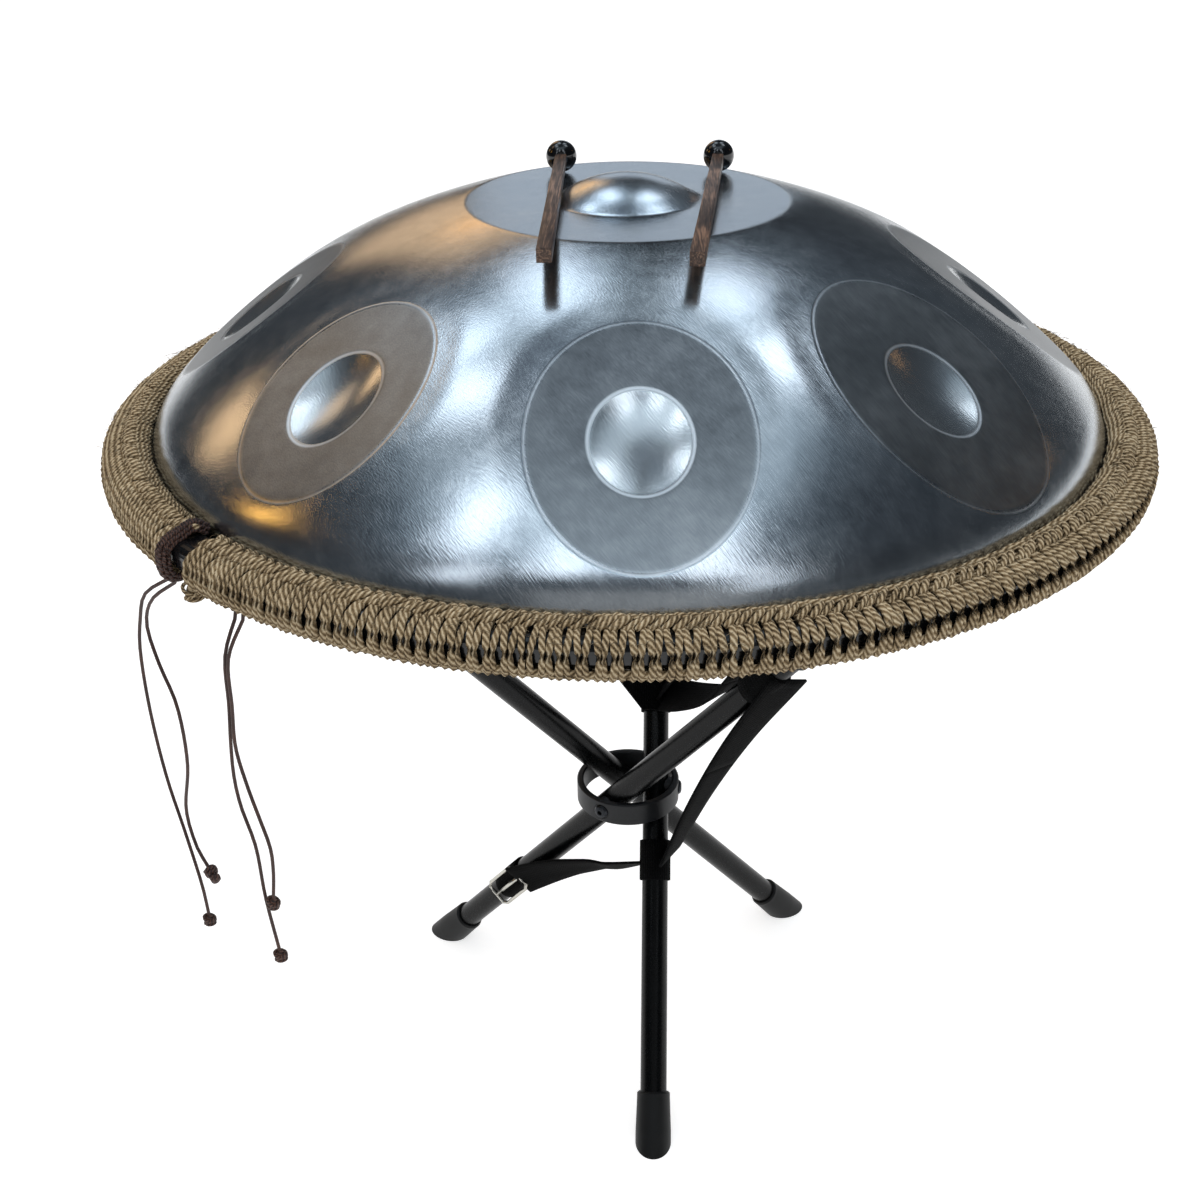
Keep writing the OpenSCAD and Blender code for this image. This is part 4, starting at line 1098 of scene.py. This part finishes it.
# %% Wood and ball finishes
def dark_wood():
    """Dark stained hardwood: long, fine grain along the handle."""
    made, tree, shader = start_material("dark_stained_wood", Roughness=0.42)
    place = add(tree, "ShaderNodeTexCoord").outputs["Object"]
    # pores about 0.7 mm wide and 22 mm long along Y, as the handles lie nearly along Y
    lie = add(tree, "ShaderNodeMapping", {0: place, "Scale": (1400.0, 45.0, 1400.0)})
    grain = add(tree, "ShaderNodeTexNoise", {0: lie, "Scale": 1.0, "Detail": 4.0,
                                             "Distortion": 0.4})
    broad = add(tree, "ShaderNodeTexNoise", {0: place, "Scale": 28.0, "Detail": 3.0})
    tone = 0.0
    for part, share in ((broad, 0.4), (grain, 0.6)):
        tone = add(tree, "ShaderNodeMath", {0: part, 1: share, 2: tone},
                   operation="MULTIPLY_ADD")
    colour = add(tree, "ShaderNodeValToRGB", {0: tone},
                 stops=((0.36, "#1b110c"), (0.5, "#4b3629"), (0.63, "#93715a")))
    rough = add(tree, "ShaderNodeMapRange", {0: tone, 1: 0.3, 2: 0.7, 3: 0.5, 4: 0.34})
    finish_surface(tree, shader, colour, grain, 0.4, 0.05, rough)
    return made


wood = dark_wood()
ball_rubber = grained("glossy_black_rubber", "#050506", "#0b0b0d", 0.12, 2.0, 0.01, 0.03,
                      coat=0.4)
MALLET_L, BALL_R, HANDLE_T, NECK_T, BALL_BACK = 180.0, 8.5, 7.2, 6.0, 59.0
CROWN_Z = RIM_Z + BOND / 2 + PLATE_Z


def handle_half(d):
    """Half a handle's thickness at a distance from its ball."""
    return (NECK_T + (HANDLE_T - NECK_T) * d / MALLET_L) / 2


def mallet_matrix(ball_x, end_x, drop, run):
    """Puts the ball at the origin's place and the handle along its own -Z."""
    tilt = math.atan(drop / run)
    return (Matrix.Translation(Vector((ball_x, BALL_BACK, CROWN_Z + 0.3 + BALL_R)) * MM)
            @ Matrix.Rotation(math.atan((end_x - ball_x) / MALLET_L), 4, "Z")
            @ Matrix.Rotation(tilt, 4, "X") @ Matrix.Rotation(math.radians(-90), 4, "X"))


# sideways places of each ball and each handle's end; the left handle rests on the centre
# note's slope, the right one on the edge of the crown plate
BALL_X, END_X = {"left": -37.0, "right": 50.0}, {"left": -35.0, "right": 35.0}
inner_x = -(BALL_X["left"] + END_X["left"]) / 2 - HANDLE_T / 2
ding_top = math.sqrt(DING_SPHERE ** 2 - inner_x ** 2) - DING_SPHERE + DING_RISE
right_x = (BALL_X["right"] + END_X["right"]) / 2
right_run = BALL_BACK + math.sqrt(PLATE_R ** 2 - right_x ** 2)
LEANS = {"left": (BALL_R - handle_half(BALL_BACK) - max(0, ding_top), BALL_BACK),
         "right": (BALL_R - handle_half(right_run), right_run)}


# %% Handles and balls
def settle(piece):
    """Puts a piece's place into its mesh, so that its object is at the origin."""
    pick(piece)
    bpy.ops.object.transform_apply(location=True, rotation=True, scale=True)


for name, (drop, run) in LEANS.items():
    place = mallet_matrix(BALL_X[name], END_X[name], drop, run)
    bpy.ops.object.select_all(action="DESELECT")
    bpy.ops.mesh.primitive_cube_add(size=1, location=(0, 0, -MALLET_L / 2 * MM))
    handle = bpy.context.object
    handle.name = "mallet_rod_" + name
    handle.scale = (HANDLE_T * MM, HANDLE_T * MM, MALLET_L * MM)
    settle(handle)
    for corner in handle.data.vertices:
        if corner.co.z > -MM:
            corner.co.x *= NECK_T / HANDLE_T
            corner.co.y *= NECK_T / HANDLE_T
    bevel = handle.modifiers.new("eased_edges", "BEVEL")
    bevel.width, bevel.segments = 0.5 * MM, 3
    bpy.ops.object.modifier_apply(modifier="eased_edges")
    bpy.ops.object.shade_smooth_by_angle(angle=math.radians(30))
    handle.matrix_world = place
    settle(handle)

    bpy.ops.object.select_all(action="DESELECT")
    bpy.ops.mesh.primitive_uv_sphere_add(segments=64, ring_count=32, radius=BALL_R * MM)
    ball = bpy.context.object
    ball.name = "mallet_head_" + name
    bpy.ops.object.mode_set(mode="EDIT")
    bpy.ops.mesh.select_all(action="SELECT")
    bpy.ops.mesh.bisect(plane_co=(0, 0, -(BALL_R - 0.55) * MM), plane_no=(0, 0, -1),
                        clear_outer=True, use_fill=True)
    bpy.ops.object.mode_set(mode="OBJECT")
    bpy.ops.object.shade_smooth_by_angle(angle=math.radians(35))
    ball.matrix_world = place
    settle(ball)
    dress(handle, wood, "mallet_wood", "mallet_" + name, "mallet_handle_" + name)
    dress(ball, ball_rubber, "ball_rubber", "mallet_" + name, "mallet_ball_" + name)
    print(name, "mallet leans by", round(math.degrees(math.atan(drop / run)), 1), "degrees")
